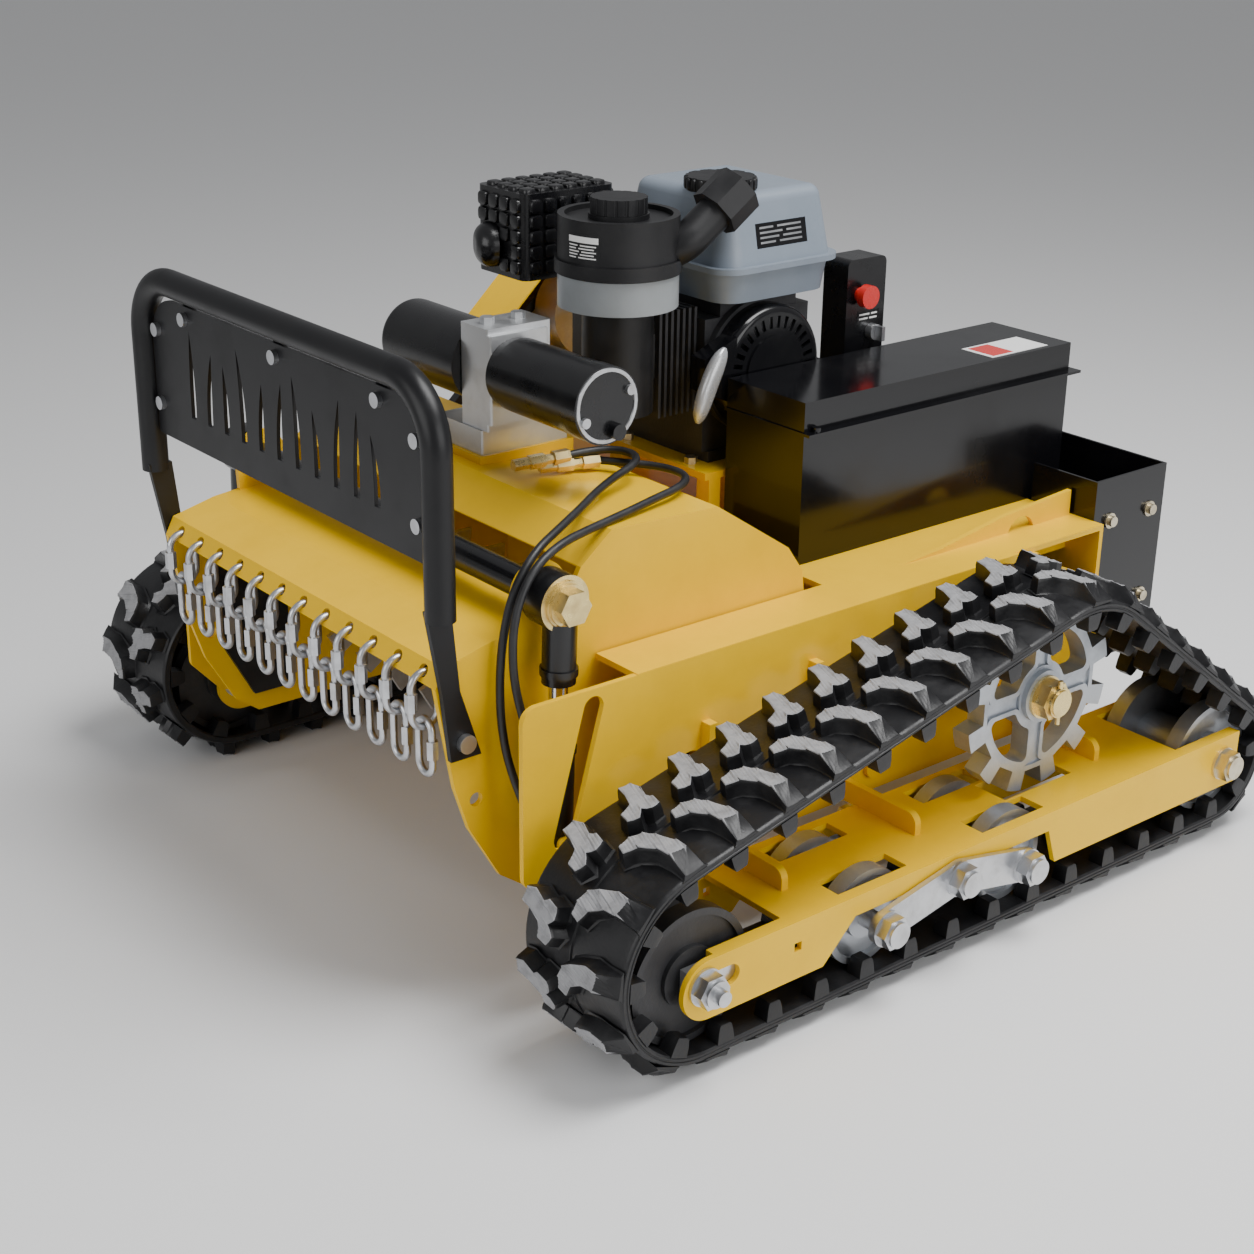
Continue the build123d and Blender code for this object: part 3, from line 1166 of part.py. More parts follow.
def make_battery_box():
    """Sheet steel box with a hinged lid and a battery inside."""
    x0, x1, y0, y1 = BATTERY_X0, BATTERY_X1, BATTERY_Y0, BATTERY_Y1
    lid_wall = 2.0
    with BuildPart() as box:
        block(x0, x1, y0, y1, CHASSIS_TOP, BATTERY_LID_Z)
        block(x0 + 2, x1 - 2, y0 + 2, y1 - 2, CHASSIS_TOP + 2, BATTERY_LID_Z + 1, Mode.SUBTRACT)
    pieces["battery_box"] = box
    seat = BATTERY_LID_Z + SIDE_GAP
    with BuildPart() as lid:
        block(x0 - 2, x1 + 10, y0 - 2, y1 + 10, seat, seat + 3)
        block(x0, x1, y0, y1, seat, BATTERY_TOP)
        block(x0 + lid_wall, x1 - lid_wall, y0 + lid_wall, y1 - lid_wall, seat - 1,
              BATTERY_TOP - lid_wall, Mode.SUBTRACT)
        with BuildSketch(level(seat + 3)):
            with Locations((x1 + 4, y0 + 14)):
                Circle(4.5)
        extrude(amount=5)
    pieces["battery_lid"] = lid
    with BuildPart() as battery:
        block(x0 + 16, x1 - 16, y0 + 30, y1 - 40, CHASSIS_TOP + 2, BATTERY_LID_Z - 18)
        for y in (y0 + 60, y1 - 70):
            with BuildSketch(level(BATTERY_LID_Z - 18)):
                with Locations((x0 + 40, y)):
                    Circle(8)
            extrude(amount=12)
    pieces["battery"] = battery


MAKERS = (make_tracks, make_sprocket, make_sprocket_shaft, make_tensioner, make_bogie, make_idlers,
          make_track_frames, make_travel_motors, make_chassis, make_rear_box,
          make_frame_fasteners, make_deck_shell, make_rubber_flaps, make_guard_frame,
          make_guard_plate, make_guard_bolts, make_chains, make_rotor, make_rotor_pulley,
          make_rotor_bearings, make_lift, make_power_pack, make_hoses, make_engine_block,
          make_starter, make_crankshaft, make_drive_belt, make_belt_guard, make_muffler,
          make_air_filter, make_fuel_tank, make_control_panel, make_battery_box)
for make in MAKERS:
    make()

os.makedirs("parts", exist_ok=True)
for name, piece in pieces.items():
    piece.part.label = name
    export_step(piece.part, f"parts/{name}.step")
print(len(pieces), "nodes")
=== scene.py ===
"""Looks of the tracked flail mower: finishes, hoses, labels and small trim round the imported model."""
import math
import bmesh
import bpy
from mathutils import Matrix, Vector


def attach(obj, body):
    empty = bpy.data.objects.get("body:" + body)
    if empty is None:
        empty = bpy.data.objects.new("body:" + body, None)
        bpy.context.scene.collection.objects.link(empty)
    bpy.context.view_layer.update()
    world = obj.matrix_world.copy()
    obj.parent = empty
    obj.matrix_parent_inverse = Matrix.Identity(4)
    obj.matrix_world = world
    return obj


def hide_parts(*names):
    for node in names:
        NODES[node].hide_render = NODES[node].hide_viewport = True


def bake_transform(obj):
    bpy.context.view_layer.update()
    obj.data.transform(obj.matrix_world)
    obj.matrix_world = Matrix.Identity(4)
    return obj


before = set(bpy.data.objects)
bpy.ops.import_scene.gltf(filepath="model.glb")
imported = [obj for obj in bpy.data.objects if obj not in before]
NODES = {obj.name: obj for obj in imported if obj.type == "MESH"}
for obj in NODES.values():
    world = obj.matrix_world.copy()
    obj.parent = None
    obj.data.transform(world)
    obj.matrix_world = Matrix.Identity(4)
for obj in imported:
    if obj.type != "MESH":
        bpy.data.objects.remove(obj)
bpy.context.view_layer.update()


# ------------------------------------------------------------------ finishes
def socket(tree, name, kind, way="INPUT", value=None):
    made = tree.interface.new_socket(name=name, in_out=way, socket_type=f"NodeSocket{kind}")
    if value is not None:
        made.default_value = value
    return made


def link(tree, a, b):
    tree.links.new(a, b)


def grime_group():
    """Two-colour variation, a grain height and a roughness that varies with the dirt."""
    tree = bpy.data.node_groups.new("Workshop grime", "ShaderNodeTree")
    for name, kind, value in (("Paint", "Color", (0.5, 0.5, 0.5, 1)), ("Dirt", "Color", (0.2, 0.18, 0.15, 1)),
                              ("Dirt amount", "Float", 0.2), ("Patch scale", "Float", 14.0),
                              ("Grain scale", "Float", 400.0), ("Roughness", "Float", 0.35),
                              ("Roughness spread", "Float", 0.15)):
        socket(tree, name, kind, value=value)
    socket(tree, "Color", "Color", "OUTPUT")
    socket(tree, "Roughness", "Float", "OUTPUT")
    socket(tree, "Grain", "Float", "OUTPUT")
    new = tree.nodes.new
    inside, outside = new("NodeGroupInput"), new("NodeGroupOutput")
    coords = new("ShaderNodeTexCoord")
    patches, speckle = new("ShaderNodeTexNoise"), new("ShaderNodeTexNoise")
    for node, scale in ((patches, "Patch scale"), (speckle, "Grain scale")):
        link(tree, coords.outputs["Object"], node.inputs["Vector"])
        link(tree, inside.outputs[scale], node.inputs["Scale"])
    patches.inputs["Detail"].default_value = 8
    patches.inputs["Roughness"].default_value = 0.62
    speckle.inputs["Detail"].default_value = 3
    ramp = new("ShaderNodeMapRange")
    ramp.inputs["From Min"].default_value = 0.45
    ramp.inputs["From Max"].default_value = 0.72
    link(tree, patches.outputs["Fac"], ramp.inputs["Value"])
    amount = new("ShaderNodeMath"); amount.operation = "MULTIPLY"
    link(tree, ramp.outputs["Result"], amount.inputs[0])
    link(tree, inside.outputs["Dirt amount"], amount.inputs[1])
    mix = new("ShaderNodeMix"); mix.data_type = "RGBA"
    link(tree, amount.outputs[0], mix.inputs["Factor"])
    link(tree, inside.outputs["Paint"], mix.inputs[6])
    link(tree, inside.outputs["Dirt"], mix.inputs[7])
    rough = new("ShaderNodeMath"); rough.operation = "MULTIPLY_ADD"
    link(tree, ramp.outputs["Result"], rough.inputs[0])
    link(tree, inside.outputs["Roughness spread"], rough.inputs[1])
    link(tree, inside.outputs["Roughness"], rough.inputs[2])
    link(tree, mix.outputs[2], outside.inputs["Color"])
    link(tree, rough.outputs[0], outside.inputs["Roughness"])
    link(tree, speckle.outputs["Fac"], outside.inputs["Grain"])
    return tree


GRIME = grime_group()


def finish(name, paint, dirt=None, amount=0.25, patch=14.0, grain=400.0, rough=0.35, spread=0.15,
           bump=0.15, depth=0.0003, metal=0.0, coat=0.0, alpha=1.0, through=0.0, specular=0.5):
    """A material from the shared grime group with its own values."""
    mat = bpy.data.materials.new(name)
    mat.use_nodes = True
    tree = mat.node_tree
    shader = tree.nodes["Principled BSDF"]
    group = tree.nodes.new("ShaderNodeGroup")
    group.node_tree = GRIME
    dirt = dirt or tuple(0.45 * c + 0.04 for c in paint)
    for key, value in (("Paint", (*paint, 1)), ("Dirt", (*dirt, 1)), ("Dirt amount", amount),
                       ("Patch scale", patch), ("Grain scale", grain), ("Roughness", rough),
                       ("Roughness spread", spread)):
        group.inputs[key].default_value = value
    link(tree, group.outputs["Color"], shader.inputs["Base Color"])
    link(tree, group.outputs["Roughness"], shader.inputs["Roughness"])
    lift = tree.nodes.new("ShaderNodeBump")
    lift.inputs["Strength"].default_value = bump
    lift.inputs["Distance"].default_value = depth
    link(tree, group.outputs["Grain"], lift.inputs["Height"])
    link(tree, lift.outputs["Normal"], shader.inputs["Normal"])
    shader.inputs["Metallic"].default_value = metal
    shader.inputs["Coat Weight"].default_value = coat
    shader.inputs["Coat Roughness"].default_value = 0.08
    shader.inputs["Alpha"].default_value = alpha
    shader.inputs["Transmission Weight"].default_value = through
    shader.inputs["Specular IOR Level"].default_value = specular
    return mat


YELLOW = finish("amber_paint", (0.87, 0.52, 0.0), (0.62, 0.34, 0.0), 0.3, 9, 900, 0.34, 0.12, 0.05, coat=0.08, specular=0.22)
BLACK = finish("black_gloss_paint", (0.004, 0.004, 0.005), (0.02, 0.02, 0.02), 0.3, 11, 700, 0.24, 0.2, 0.08, coat=0.1)
GUARD_BLACK = finish("black_powder_coat", (0.006, 0.006, 0.007), (0.018, 0.018, 0.018), 0.3, 16, 1500, 0.34, 0.15, 0.2,
                     specular=0.35)
RUBBER = finish("track_rubber", (0.007, 0.007, 0.008), (0.03, 0.03, 0.032), 0.5, 26, 260, 0.36, 0.22, 0.4, 0.0005,
                specular=0.4)
SCUFF = finish("scuffed_tread", (0.3, 0.3, 0.31), (0.1, 0.1, 0.1), 0.55, 60, 300, 0.75, 0.2, 0.5, 0.0005)
HOSE = finish("hose_rubber", (0.012, 0.012, 0.013), (0.05, 0.05, 0.05), 0.3, 40, 600, 0.42, 0.15, 0.3)
CAST = finish("cast_steel", (0.5, 0.53, 0.57), (0.3, 0.33, 0.38), 0.6, 20, 330, 0.4, 0.25, 0.5, 0.0006, metal=0.75)
CAST_DARK = finish("dark_casting", (0.03, 0.03, 0.033), (0.1, 0.1, 0.1), 0.4, 18, 300, 0.45, 0.2, 0.5, 0.0006, metal=0.2)
WHEEL = finish("wheel_steel", (0.42, 0.44, 0.47), (0.2, 0.2, 0.21), 0.6, 16, 300, 0.36, 0.25, 0.4, 0.0004,
               metal=0.8)
ZINC = finish("yellow_zinc", (0.83, 0.66, 0.3), (0.6, 0.42, 0.2), 0.5, 60, 500, 0.27, 0.2, 0.12, metal=0.95)
STEEL = finish("bright_zinc", (0.62, 0.63, 0.65), (0.35, 0.34, 0.33), 0.45, 45, 500, 0.28, 0.22, 0.15, metal=0.95)
NUT = finish("pale_gold_zinc", (0.7, 0.63, 0.47), (0.42, 0.33, 0.2), 0.55, 70, 500, 0.28, 0.2, 0.12, metal=0.95)
CHROME = finish("chromed_rod", (0.82, 0.82, 0.84), (0.7, 0.7, 0.7), 0.2, 30, 800, 0.06, 0.05, 0.02, metal=1.0)
ALUMINIUM = finish("machined_aluminium", (0.68, 0.69, 0.7), (0.5, 0.5, 0.5), 0.4, 40, 420, 0.34, 0.15, 0.15, metal=0.9)
GRIP_SILVER = finish("silver_moulding", (0.5, 0.51, 0.53), (0.3, 0.3, 0.3), 0.4, 40, 700, 0.25, 0.15, 0.1, metal=0.5)
PLASTIC = finish("black_moulding", (0.008, 0.008, 0.009), (0.025, 0.025, 0.026), 0.35, 22, 1300, 0.4, 0.15, 0.3,
                 specular=0.35)
GLOSS = finish("gloss_black_moulding", (0.004, 0.004, 0.005), (0.014, 0.014, 0.014), 0.3, 9, 900, 0.16, 0.14, 0.03,
               coat=0.15, specular=0.4)
RED = finish("red_moulding", (0.62, 0.02, 0.015), None, 0.2, 60, 900, 0.25, 0.1, 0.05, coat=0.3)
WHITE = finish("white_print", (0.8, 0.8, 0.79), (0.66, 0.66, 0.64), 0.3, 60, 900, 0.4, 0.1, 0.05)
TANK = finish("tank_moulding", (0.2, 0.235, 0.28), (0.15, 0.18, 0.22), 0.5, 12, 800, 0.34, 0.15, 0.12)
BOWL = finish("frosted_bowl", (0.38, 0.41, 0.43), (0.28, 0.3, 0.31), 0.4, 30, 700, 0.32, 0.2, 0.15, through=0.35)

LOOKS = {
    "rubber_tracks": RUBBER, "sprocket_right": CAST, "sprocket_left": CAST,
    "sprocket_shaft_right": ZINC, "sprocket_shaft_left": ZINC,
    "tensioner_right": STEEL, "tensioner_left": STEEL,
    "bogie_link_right": STEEL, "bogie_link_left": STEEL,
    "front_roller_right": WHEEL, "front_roller_left": WHEEL,
    "rear_roller_right": WHEEL, "rear_roller_left": WHEEL,
    "front_idler_right": CAST_DARK, "front_idler_left": CAST_DARK,
    "rear_idler_right": WHEEL, "rear_idler_left": WHEEL,
    "track_frames": YELLOW, "travel_motors": BLACK, "chassis_frame": YELLOW, "rear_box": GLOSS,
    "frame_fasteners": NUT, "deck_shell": YELLOW, "rubber_flaps": RUBBER,
    "guard_frame": GUARD_BLACK, "guard_plate": GUARD_BLACK, "guard_bolts": STEEL,
    "chain_links_upper": STEEL, "chain_links_lower": STEEL, "flail_rotor": BLACK,
    "flail_blades": STEEL, "rotor_pulley": CAST, "rotor_bearings": CAST_DARK,
    "cross_shaft": BLACK, "rod_ends": ZINC, "lift_barrels": BLACK, "lift_rods": CHROME,
    "pump_manifold": ALUMINIUM, "pump_motor": BLACK, "oil_reservoir": BLACK,
    "hydraulic_hoses": HOSE, "hose_fittings": ZINC, "engine_block": CAST_DARK,
    "starter_cover": GLOSS, "starter_grip": GRIP_SILVER, "crankshaft": STEEL, "drive_belt": HOSE,
    "belt_guard": YELLOW, "muffler": BLACK, "air_filter_body": PLASTIC, "filter_bowl": BOWL,
    "filter_knob": PLASTIC, "fuel_tank": TANK, "fuel_cap": PLASTIC, "control_panel": BLACK,
    "key_switch": STEEL, "stop_button": RED, "battery_box": GLOSS, "battery_lid": GLOSS,
    "battery": PLASTIC,
}
for node, look in LOOKS.items():
    mesh = NODES[node].data
    mesh.materials.clear()
    mesh.materials.append(look)


def repaint(node, look, rule):
    """Gives the faces of a CAD node whose centre passes the rule another finish."""
    mesh = NODES[node].data
    mesh.materials.append(look)
    index = len(mesh.materials) - 1
    for face in mesh.polygons:
        if rule(face.center * 1000):
            face.material_index = index


LIFT_Y, LIFT_Z = -365.0, 401.0
repaint("rod_ends", BLACK, lambda c: abs(c.x) < 293 or math.dist((c.y, c.z), (LIFT_Y, LIFT_Z)) > 27.5)
repaint("pump_motor", STEEL, lambda c: c.x > 182.1
        and min(math.dist((c.y, c.z), (-204, 547)), math.dist((c.y, c.z), (-258, 523))) < 5.6)

# ------------------------------------------------------------------ stage
MM = 0.001


def new_object(name, mesh):
    piece = bpy.data.objects.new(name, mesh)
    bpy.context.scene.collection.objects.link(piece)
    return piece


def floor():
    """Pale flat floor under the machine."""
    mesh = bpy.data.meshes.new("studio_floor")
    bm = bmesh.new()
    bmesh.ops.create_grid(bm, x_segments=4, y_segments=4, size=9.0)
    bm.to_mesh(mesh)
    bm.free()
    mesh.materials.append(finish("studio_paper", (0.86, 0.86, 0.86), (0.84, 0.84, 0.84), 0.2, 0.5, 30, 0.75, 0.05,
                                 0.0))
    new_object("studio_floor", mesh)


def camera():
    """Long lens from the front corner, a little above the guard."""
    turn, tip, roll = math.radians(50.7), math.radians(22.4), math.radians(0.8)
    back = Vector((math.sin(turn) * math.cos(tip), -math.cos(turn) * math.cos(tip), math.sin(tip)))
    right = Vector((math.cos(turn), math.sin(turn), 0))
    up = back.cross(right)
    right, up = right * math.cos(roll) + up * math.sin(roll), up * math.cos(roll) - right * math.sin(roll)
    lens = bpy.data.cameras.new("studio_camera")
    lens.sensor_width = 36
    lens.lens = 2050 / 1254 * 36
    view = bpy.data.objects.new("studio_camera", lens)
    bpy.context.scene.collection.objects.link(view)
    axes = Matrix((right, up, back)).transposed().to_4x4()
    view.matrix_world = Matrix.Translation((1.645, -1.400, 1.081)) @ axes
    bpy.context.scene.camera = view


def softbox(name, place, aim, size, power):
    light = bpy.data.lights.new(name, "AREA")
    light.shape = "RECTANGLE"
    light.size, light.size_y = size
    light.energy = power
    lamp = bpy.data.objects.new(name, light)
    bpy.context.scene.collection.objects.link(lamp)
    direction = Vector(aim) - Vector(place)
    lamp.matrix_world = Matrix.Translation(place) @ direction.to_track_quat("-Z", "Y").to_matrix().to_4x4()


def studio():
    floor()
    camera()
    softbox("top_softbox", (0.9, 0.5, 2.6), (0, 0, 0.3), (1.5, 1.5), 85)
    softbox("front_softbox", (0.2, -2.9, 1.3), (0, 0, 0.35), (2.2, 1.6), 26)
    softbox("right_softbox", (2.9, 0.2, 1.2), (0, 0, 0.35), (2.2, 1.4), 30)
    world = bpy.data.worlds.new("studio_room")
    world.use_nodes = True
    sky = world.node_tree.nodes["Background"]
    sky.inputs["Color"].default_value = (0.94, 0.95, 0.97, 1)
    sky.inputs["Strength"].default_value = 0.34
    bpy.context.scene.world = world


studio()

# ------------------------------------------------------------------ laying pieces on points
def make_mesh(name, verts, faces, smooth=0.6):
    """A clean mesh with its normals outward; smooth is the angle past which an edge is sharp."""
    mesh = bpy.data.meshes.new(name)
    mesh.from_pydata(verts, [], faces)
    bm = bmesh.new()
    bm.from_mesh(mesh)
    bmesh.ops.remove_doubles(bm, verts=bm.verts, dist=0.00002)
    bmesh.ops.recalc_face_normals(bm, faces=bm.faces)
    bm.to_mesh(mesh)
    bm.free()
    mesh.polygons.foreach_set("use_smooth", [True] * len(mesh.polygons))
    mesh.set_sharp_from_angle(angle=smooth)
    return mesh


def laying_tree():
    """Geometry nodes: one piece on every point, turned about X, grown into a real mesh."""
    tree = bpy.data.node_groups.new("Lay pieces on points", "GeometryNodeTree")
    socket(tree, "Points", "Geometry")
    socket(tree, "Piece", "Object")
    socket(tree, "Finish", "Material")
    socket(tree, "Geometry", "Geometry", "OUTPUT")
    new = tree.nodes.new
    inside, outside = new("NodeGroupInput"), new("NodeGroupOutput")
    turn = new("GeometryNodeInputNamedAttribute"); turn.data_type = "FLOAT_VECTOR"
    turn.inputs["Name"].default_value = "turn"
    source = new("GeometryNodeObjectInfo")
    put = new("GeometryNodeInstanceOnPoints")
    real, paint = new("GeometryNodeRealizeInstances"), new("GeometryNodeSetMaterial")
    link(tree, inside.outputs["Piece"], source.inputs["Object"])
    link(tree, inside.outputs["Points"], put.inputs["Points"])
    link(tree, source.outputs["Geometry"], put.inputs["Instance"])
    link(tree, turn.outputs["Attribute"], put.inputs["Rotation"])
    link(tree, put.outputs["Instances"], real.inputs["Geometry"])
    chosen, slot_index = new("FunctionNodeCompare"), new("GeometryNodeInputMaterialIndex")
    chosen.data_type, chosen.operation = "INT", "EQUAL"
    chosen.inputs[3].default_value = 0
    link(tree, slot_index.outputs[0], chosen.inputs[2])
    link(tree, chosen.outputs[0], paint.inputs["Selection"])
    link(tree, real.outputs["Geometry"], paint.inputs["Geometry"])
    link(tree, inside.outputs["Finish"], paint.inputs["Material"])
    link(tree, paint.outputs["Geometry"], outside.inputs["Geometry"])
    return tree


LAYING = laying_tree()


def lay(name, mesh, places, material):
    """A mesh with one copy of mesh at each (x, y, z, (turn about X, Y, Z)), in metres and radians."""
    points = bpy.data.meshes.new(name + "_points")
    points.from_pydata([p[:3] for p in places], [], [])
    turns = points.attributes.new("turn", "FLOAT_VECTOR", "POINT")
    for item, place in zip(turns.data, places):
        item.vector = place[3]
    source = new_object(name + "_source", mesh)
    holder = new_object(name + "_points", points)
    nodes = holder.modifiers.new("laying", "NODES")
    nodes.node_group = LAYING
    for entry in LAYING.interface.items_tree:
        if entry.name == "Piece":
            nodes[entry.identifier] = source
        if entry.name == "Finish":
            nodes[entry.identifier] = material
    bpy.context.view_layer.update()
    result = bpy.data.meshes.new_from_object(holder.evaluated_get(bpy.context.evaluated_depsgraph_get()))
    bpy.data.objects.remove(holder)
    bpy.data.objects.remove(source)
    return result


def joined(name, meshes):
    """One object from several meshes that share a frame."""
    bm = bmesh.new()
    materials = []
    for mesh in meshes:
        start = len(bm.faces)
        bm.from_mesh(mesh)
        bm.faces.ensure_lookup_table()
        for face in bm.faces[start:]:
            material = mesh.materials[face.material_index] if mesh.materials else None
            if material not in materials:
                materials.append(material)
            face.material_index = materials.index(material)
    whole = bpy.data.meshes.new(name)
    bm.to_mesh(whole)
    bm.free()
    for material in materials:
        whole.materials.append(material)
    whole.set_sharp_from_angle(angle=0.6)
    return new_object(name, whole)


# ------------------------------------------------------------------ rubber tracks
LINKS, PITCH = 35, 60.0
CARCASS, LUG, DRIVE_LUG = 10.0, 18.0, 18.0
PITCH_DEPTH = 0.75 * CARCASS
BELT_MID_X, BELT_HALF = 418.0, 70.0
SPROCKET_WRAP_R = 12 * PITCH / (2 * math.pi) - PITCH_DEPTH
WRAPS = ((-353.0, 118.0, 90.0), (398.6, 90.0, 62.0), (143.0, 222.0, SPROCKET_WRAP_R))


def belt_stretches():
    """Arcs and straight runs of the belt, with each one's length at the pitch line."""
    leaves = []
    for (y, z, r), (y1, z1, r1) in zip(WRAPS, WRAPS[1:] + WRAPS[:1]):
        leaves.append(math.atan2(z1 - z, y1 - y) - math.acos((r - r1) / math.dist((y, z), (y1, z1))))
    stretches = []
    for i, (y, z, r) in enumerate(WRAPS):
        y1, z1, r1 = WRAPS[(i + 1) % 3]
        start, turn = leaves[i - 1], (leaves[i] - leaves[i - 1]) % (2 * math.pi)
        out = Vector((math.cos(leaves[i]), math.sin(leaves[i])))
        a, b = Vector((y, z)) + r * out, Vector((y1, z1)) + r1 * out
        stretches.append(("arc", (y, z, r, start), (r + PITCH_DEPTH) * turn))
        stretches.append(("run", (a, b, leaves[i]), (b - a).length))
    return stretches


STRETCHES = belt_stretches()
BELT_LENGTH = sum(s[2] for s in STRETCHES)


def belt_place(along, offset):
    """(Y, Z, outward angle) that far along the pitch line and out from the inner surface."""
    along %= BELT_LENGTH
    for kind, shape, length in STRETCHES:
        if along <= length:
            break
        along -= length
    if kind == "arc":
        y, z, r, start = shape
        angle = start + along / (r + PITCH_DEPTH)
        return y + (r + offset) * math.cos(angle), z + (r + offset) * math.sin(angle), angle
    a, b, angle = shape
    spot = a.lerp(b, along / length) + offset * Vector((math.cos(angle), math.sin(angle)))
    return spot.x, spot.y, angle


def lug_phase():
    """Distance along the belt that puts an inner lug straight above the sprocket."""
    start = STRETCHES[4][1][3]
    to_top = (math.pi / 2 - start) % (2 * math.pi)
    along = sum(s[2] for s in STRETCHES[:4]) + (SPROCKET_WRAP_R + PITCH_DEPTH) * to_top
    return along % (BELT_LENGTH / LINKS)


PHASE = lug_phase()
STEPS_PER_LINK = 8


def carcass_mesh(side):
    """The belt itself: a rounded band with a raised seam and rubbed edges."""
    half = BELT_HALF
    band = [(-half, 2), (-half, 8), (-half + 1.5, CARCASS - 0.5), (-half + 4, CARCASS), (-6, CARCASS - 0.4),
            (-4.2, CARCASS + 0.8), (-2.6, CARCASS + 0.8), (-1.4, CARCASS - 0.6), (3, CARCASS),
            (half - 4, CARCASS), (half - 1.5, CARCASS - 0.5), (half, 8), (half, 5.6), (half - 0.8, 5),
            (half - 0.8, 4), (half, 3.4), (half, 2), (half - 1.5, 0), (14, 0), (-14, 0), (-half + 1.5, 0)]
    steps = LINKS * STEPS_PER_LINK
    verts, faces = [], []
    for i in range(steps):
        along = PHASE + i * BELT_LENGTH / steps
        for x, offset in band:
            y, z, _ = belt_place(along, offset)
            verts.append((side * (BELT_MID_X + x) * MM, y * MM, z * MM))
    n = len(band)
    for i in range(steps):
        for j in range(n):
            a, b = i * n + j, i * n + (j + 1) % n
            c, d = ((i + 1) % steps) * n + (j + 1) % n, ((i + 1) % steps) * n + j
            faces.append((a, b, c, d))
    mesh = make_mesh("belt_band", verts, faces, 0.5)
    mesh.materials.append(RUBBER)
    return mesh


def grown(outline, by):
    """Outline moved out by this much, corners mitred."""
    result = []
    count = len(outline)
    for i in range(count):
        a, p, b = (Vector(outline[k % count][:2]) for k in (i - 1, i, i + 1))
        na = Vector(((p - a).y, -(p - a).x)).normalized()
        nb = Vector(((b - p).y, -(b - p).x)).normalized()
        out = (na + nb) / max(0.6, 1 + na.dot(nb))
        result.append(p + out * by)
    return result


RIB_PITCH = 3.2
RIB_DEPTH = 0.9
CROWN = 180.0           # twice the tightest radius that a stud's top goes round


def stud_mesh(name, outline, side, foot=4.5):
    """A tread stud: drafted sides, a bevelled shoulder and a finely ribbed top."""
    if sum(a[0] * b[1] - b[0] * a[1] for a, b in zip(outline, outline[1:] + outline[:1])) < 0:
        outline = outline[::-1]
    tops = [p[2] if len(p) > 2 else LUG for p in outline]
    rings = []
    for by, share in ((foot, None), (foot * 0.55, 0.12), (1.6, 0.75), (0.7, 0.95), (0.0, 1.0)):
        ring = []
        for (x, y), top in zip(grown(outline, by), tops):
            x = min(max(x, -BELT_HALF), BELT_HALF)
            z = -1.0 if share is None else top * share
            ring.append((x, y, z))
        rings.append(ring)
    bm = bmesh.new()
    made = [[bm.verts.new(p) for p in ring] for ring in rings]
    count = len(outline)
    for low, high in zip(made, made[1:]):
        for i in range(count):
            j = (i + 1) % count
            bm.faces.new((low[i], low[j], high[j], high[i]))
    bm.faces.new(made[0][::-1])
    cap = bm.faces.new(made[-1])
    bmesh.ops.triangulate(bm, faces=[cap])
    lean = Vector((0.35, 1.0, 0)).normalized()
    low = min(lean.x * p[0] + lean.y * p[1] for p in outline)
    high = max(lean.x * p[0] + lean.y * p[1] for p in outline)
    level, k = low + RIB_PITCH / 2, 0
    while level < high:
        top_faces = [f for f in bm.faces if all(v.co.z > 3 for v in f.verts) and f.normal.z > 0.8]
        parts = top_faces + list({e for f in top_faces for e in f.edges}) + list({v for f in top_faces for v in f.verts})
        bm.normal_update()
        cut = bmesh.ops.bisect_plane(bm, geom=parts, dist=0.0001, plane_co=lean * level, plane_no=lean)
        if k % 2:
            for item in cut["geom_cut"]:
                if isinstance(item, bmesh.types.BMVert):
                    item.co.z -= RIB_DEPTH
        level += RIB_PITCH / 2
        k += 1
    for v in bm.verts:
        if v.co.z > 1:
            v.co.z -= v.co.y ** 2 / CROWN
        v.co.z += CARCASS
        v.co = Vector((side * v.co.x, v.co.y, v.co.z)) * MM
    bmesh.ops.recalc_face_normals(bm, faces=bm.faces)
    mesh = bpy.data.meshes.new(name)
    bm.to_mesh(mesh)
    bm.free()
    for look in (RUBBER, SCUFF):
        mesh.materials.append(look)
    for face in mesh.polygons:
        high = face.center.z * 1000 + (face.center.y * 1000) ** 2 / CROWN
        face.material_index = int(high > CARCASS + LUG - 2.5 and abs(face.normal.z) > 0.5)
    mesh.polygons.foreach_set("use_smooth", [False] * len(mesh.polygons))
    return mesh


INNER_STUD = [(-61, 5), (-61, 17), (-50, 20), (-35, 14), (-29, 18), (-17, 15), (-15, 5), (-22, -2), (-13, -11),
              (-19, -20), (-30, -18), (-34, -4), (-48, 2)]
OUTER_STUD = [(3, -17), (12, -20), (18, -8), (34, 1), (50, 2), (69, 0, 5), (69, 20, 5), (52, 19), (38, 20),
              (18, 13), (7, 7), (2, -5)]


def drive_lug_mesh(x0, x1, side):
    """One inner lug of the belt: a tapered block with rounded corners."""
    rings = ((10.0, 0.5), (8.6, -10), (6.9, -DRIVE_LUG + 1.5), (5.6, -DRIVE_LUG))
    verts, faces = [], []
    for k, (half, z) in enumerate(rings):
        inset = 0.6 * k
        for x, y in ((x0 + inset, -half), (x1 - inset, -half), (x1 - inset, half), (x0 + inset, half)):
            verts.append((side * x * MM, y * MM, z * MM))
        if k:
            for i in range(4):
                a, b = 4 * (k - 1) + i, 4 * (k - 1) + (i + 1) % 4
                faces.append((a, b, b + 4, a + 4))
    last = 4 * (len(rings) - 1)
    faces += [(0, 3, 2, 1), (last, last + 1, last + 2, last + 3)]
    return make_mesh("drive_lug", verts, faces, 0.5)


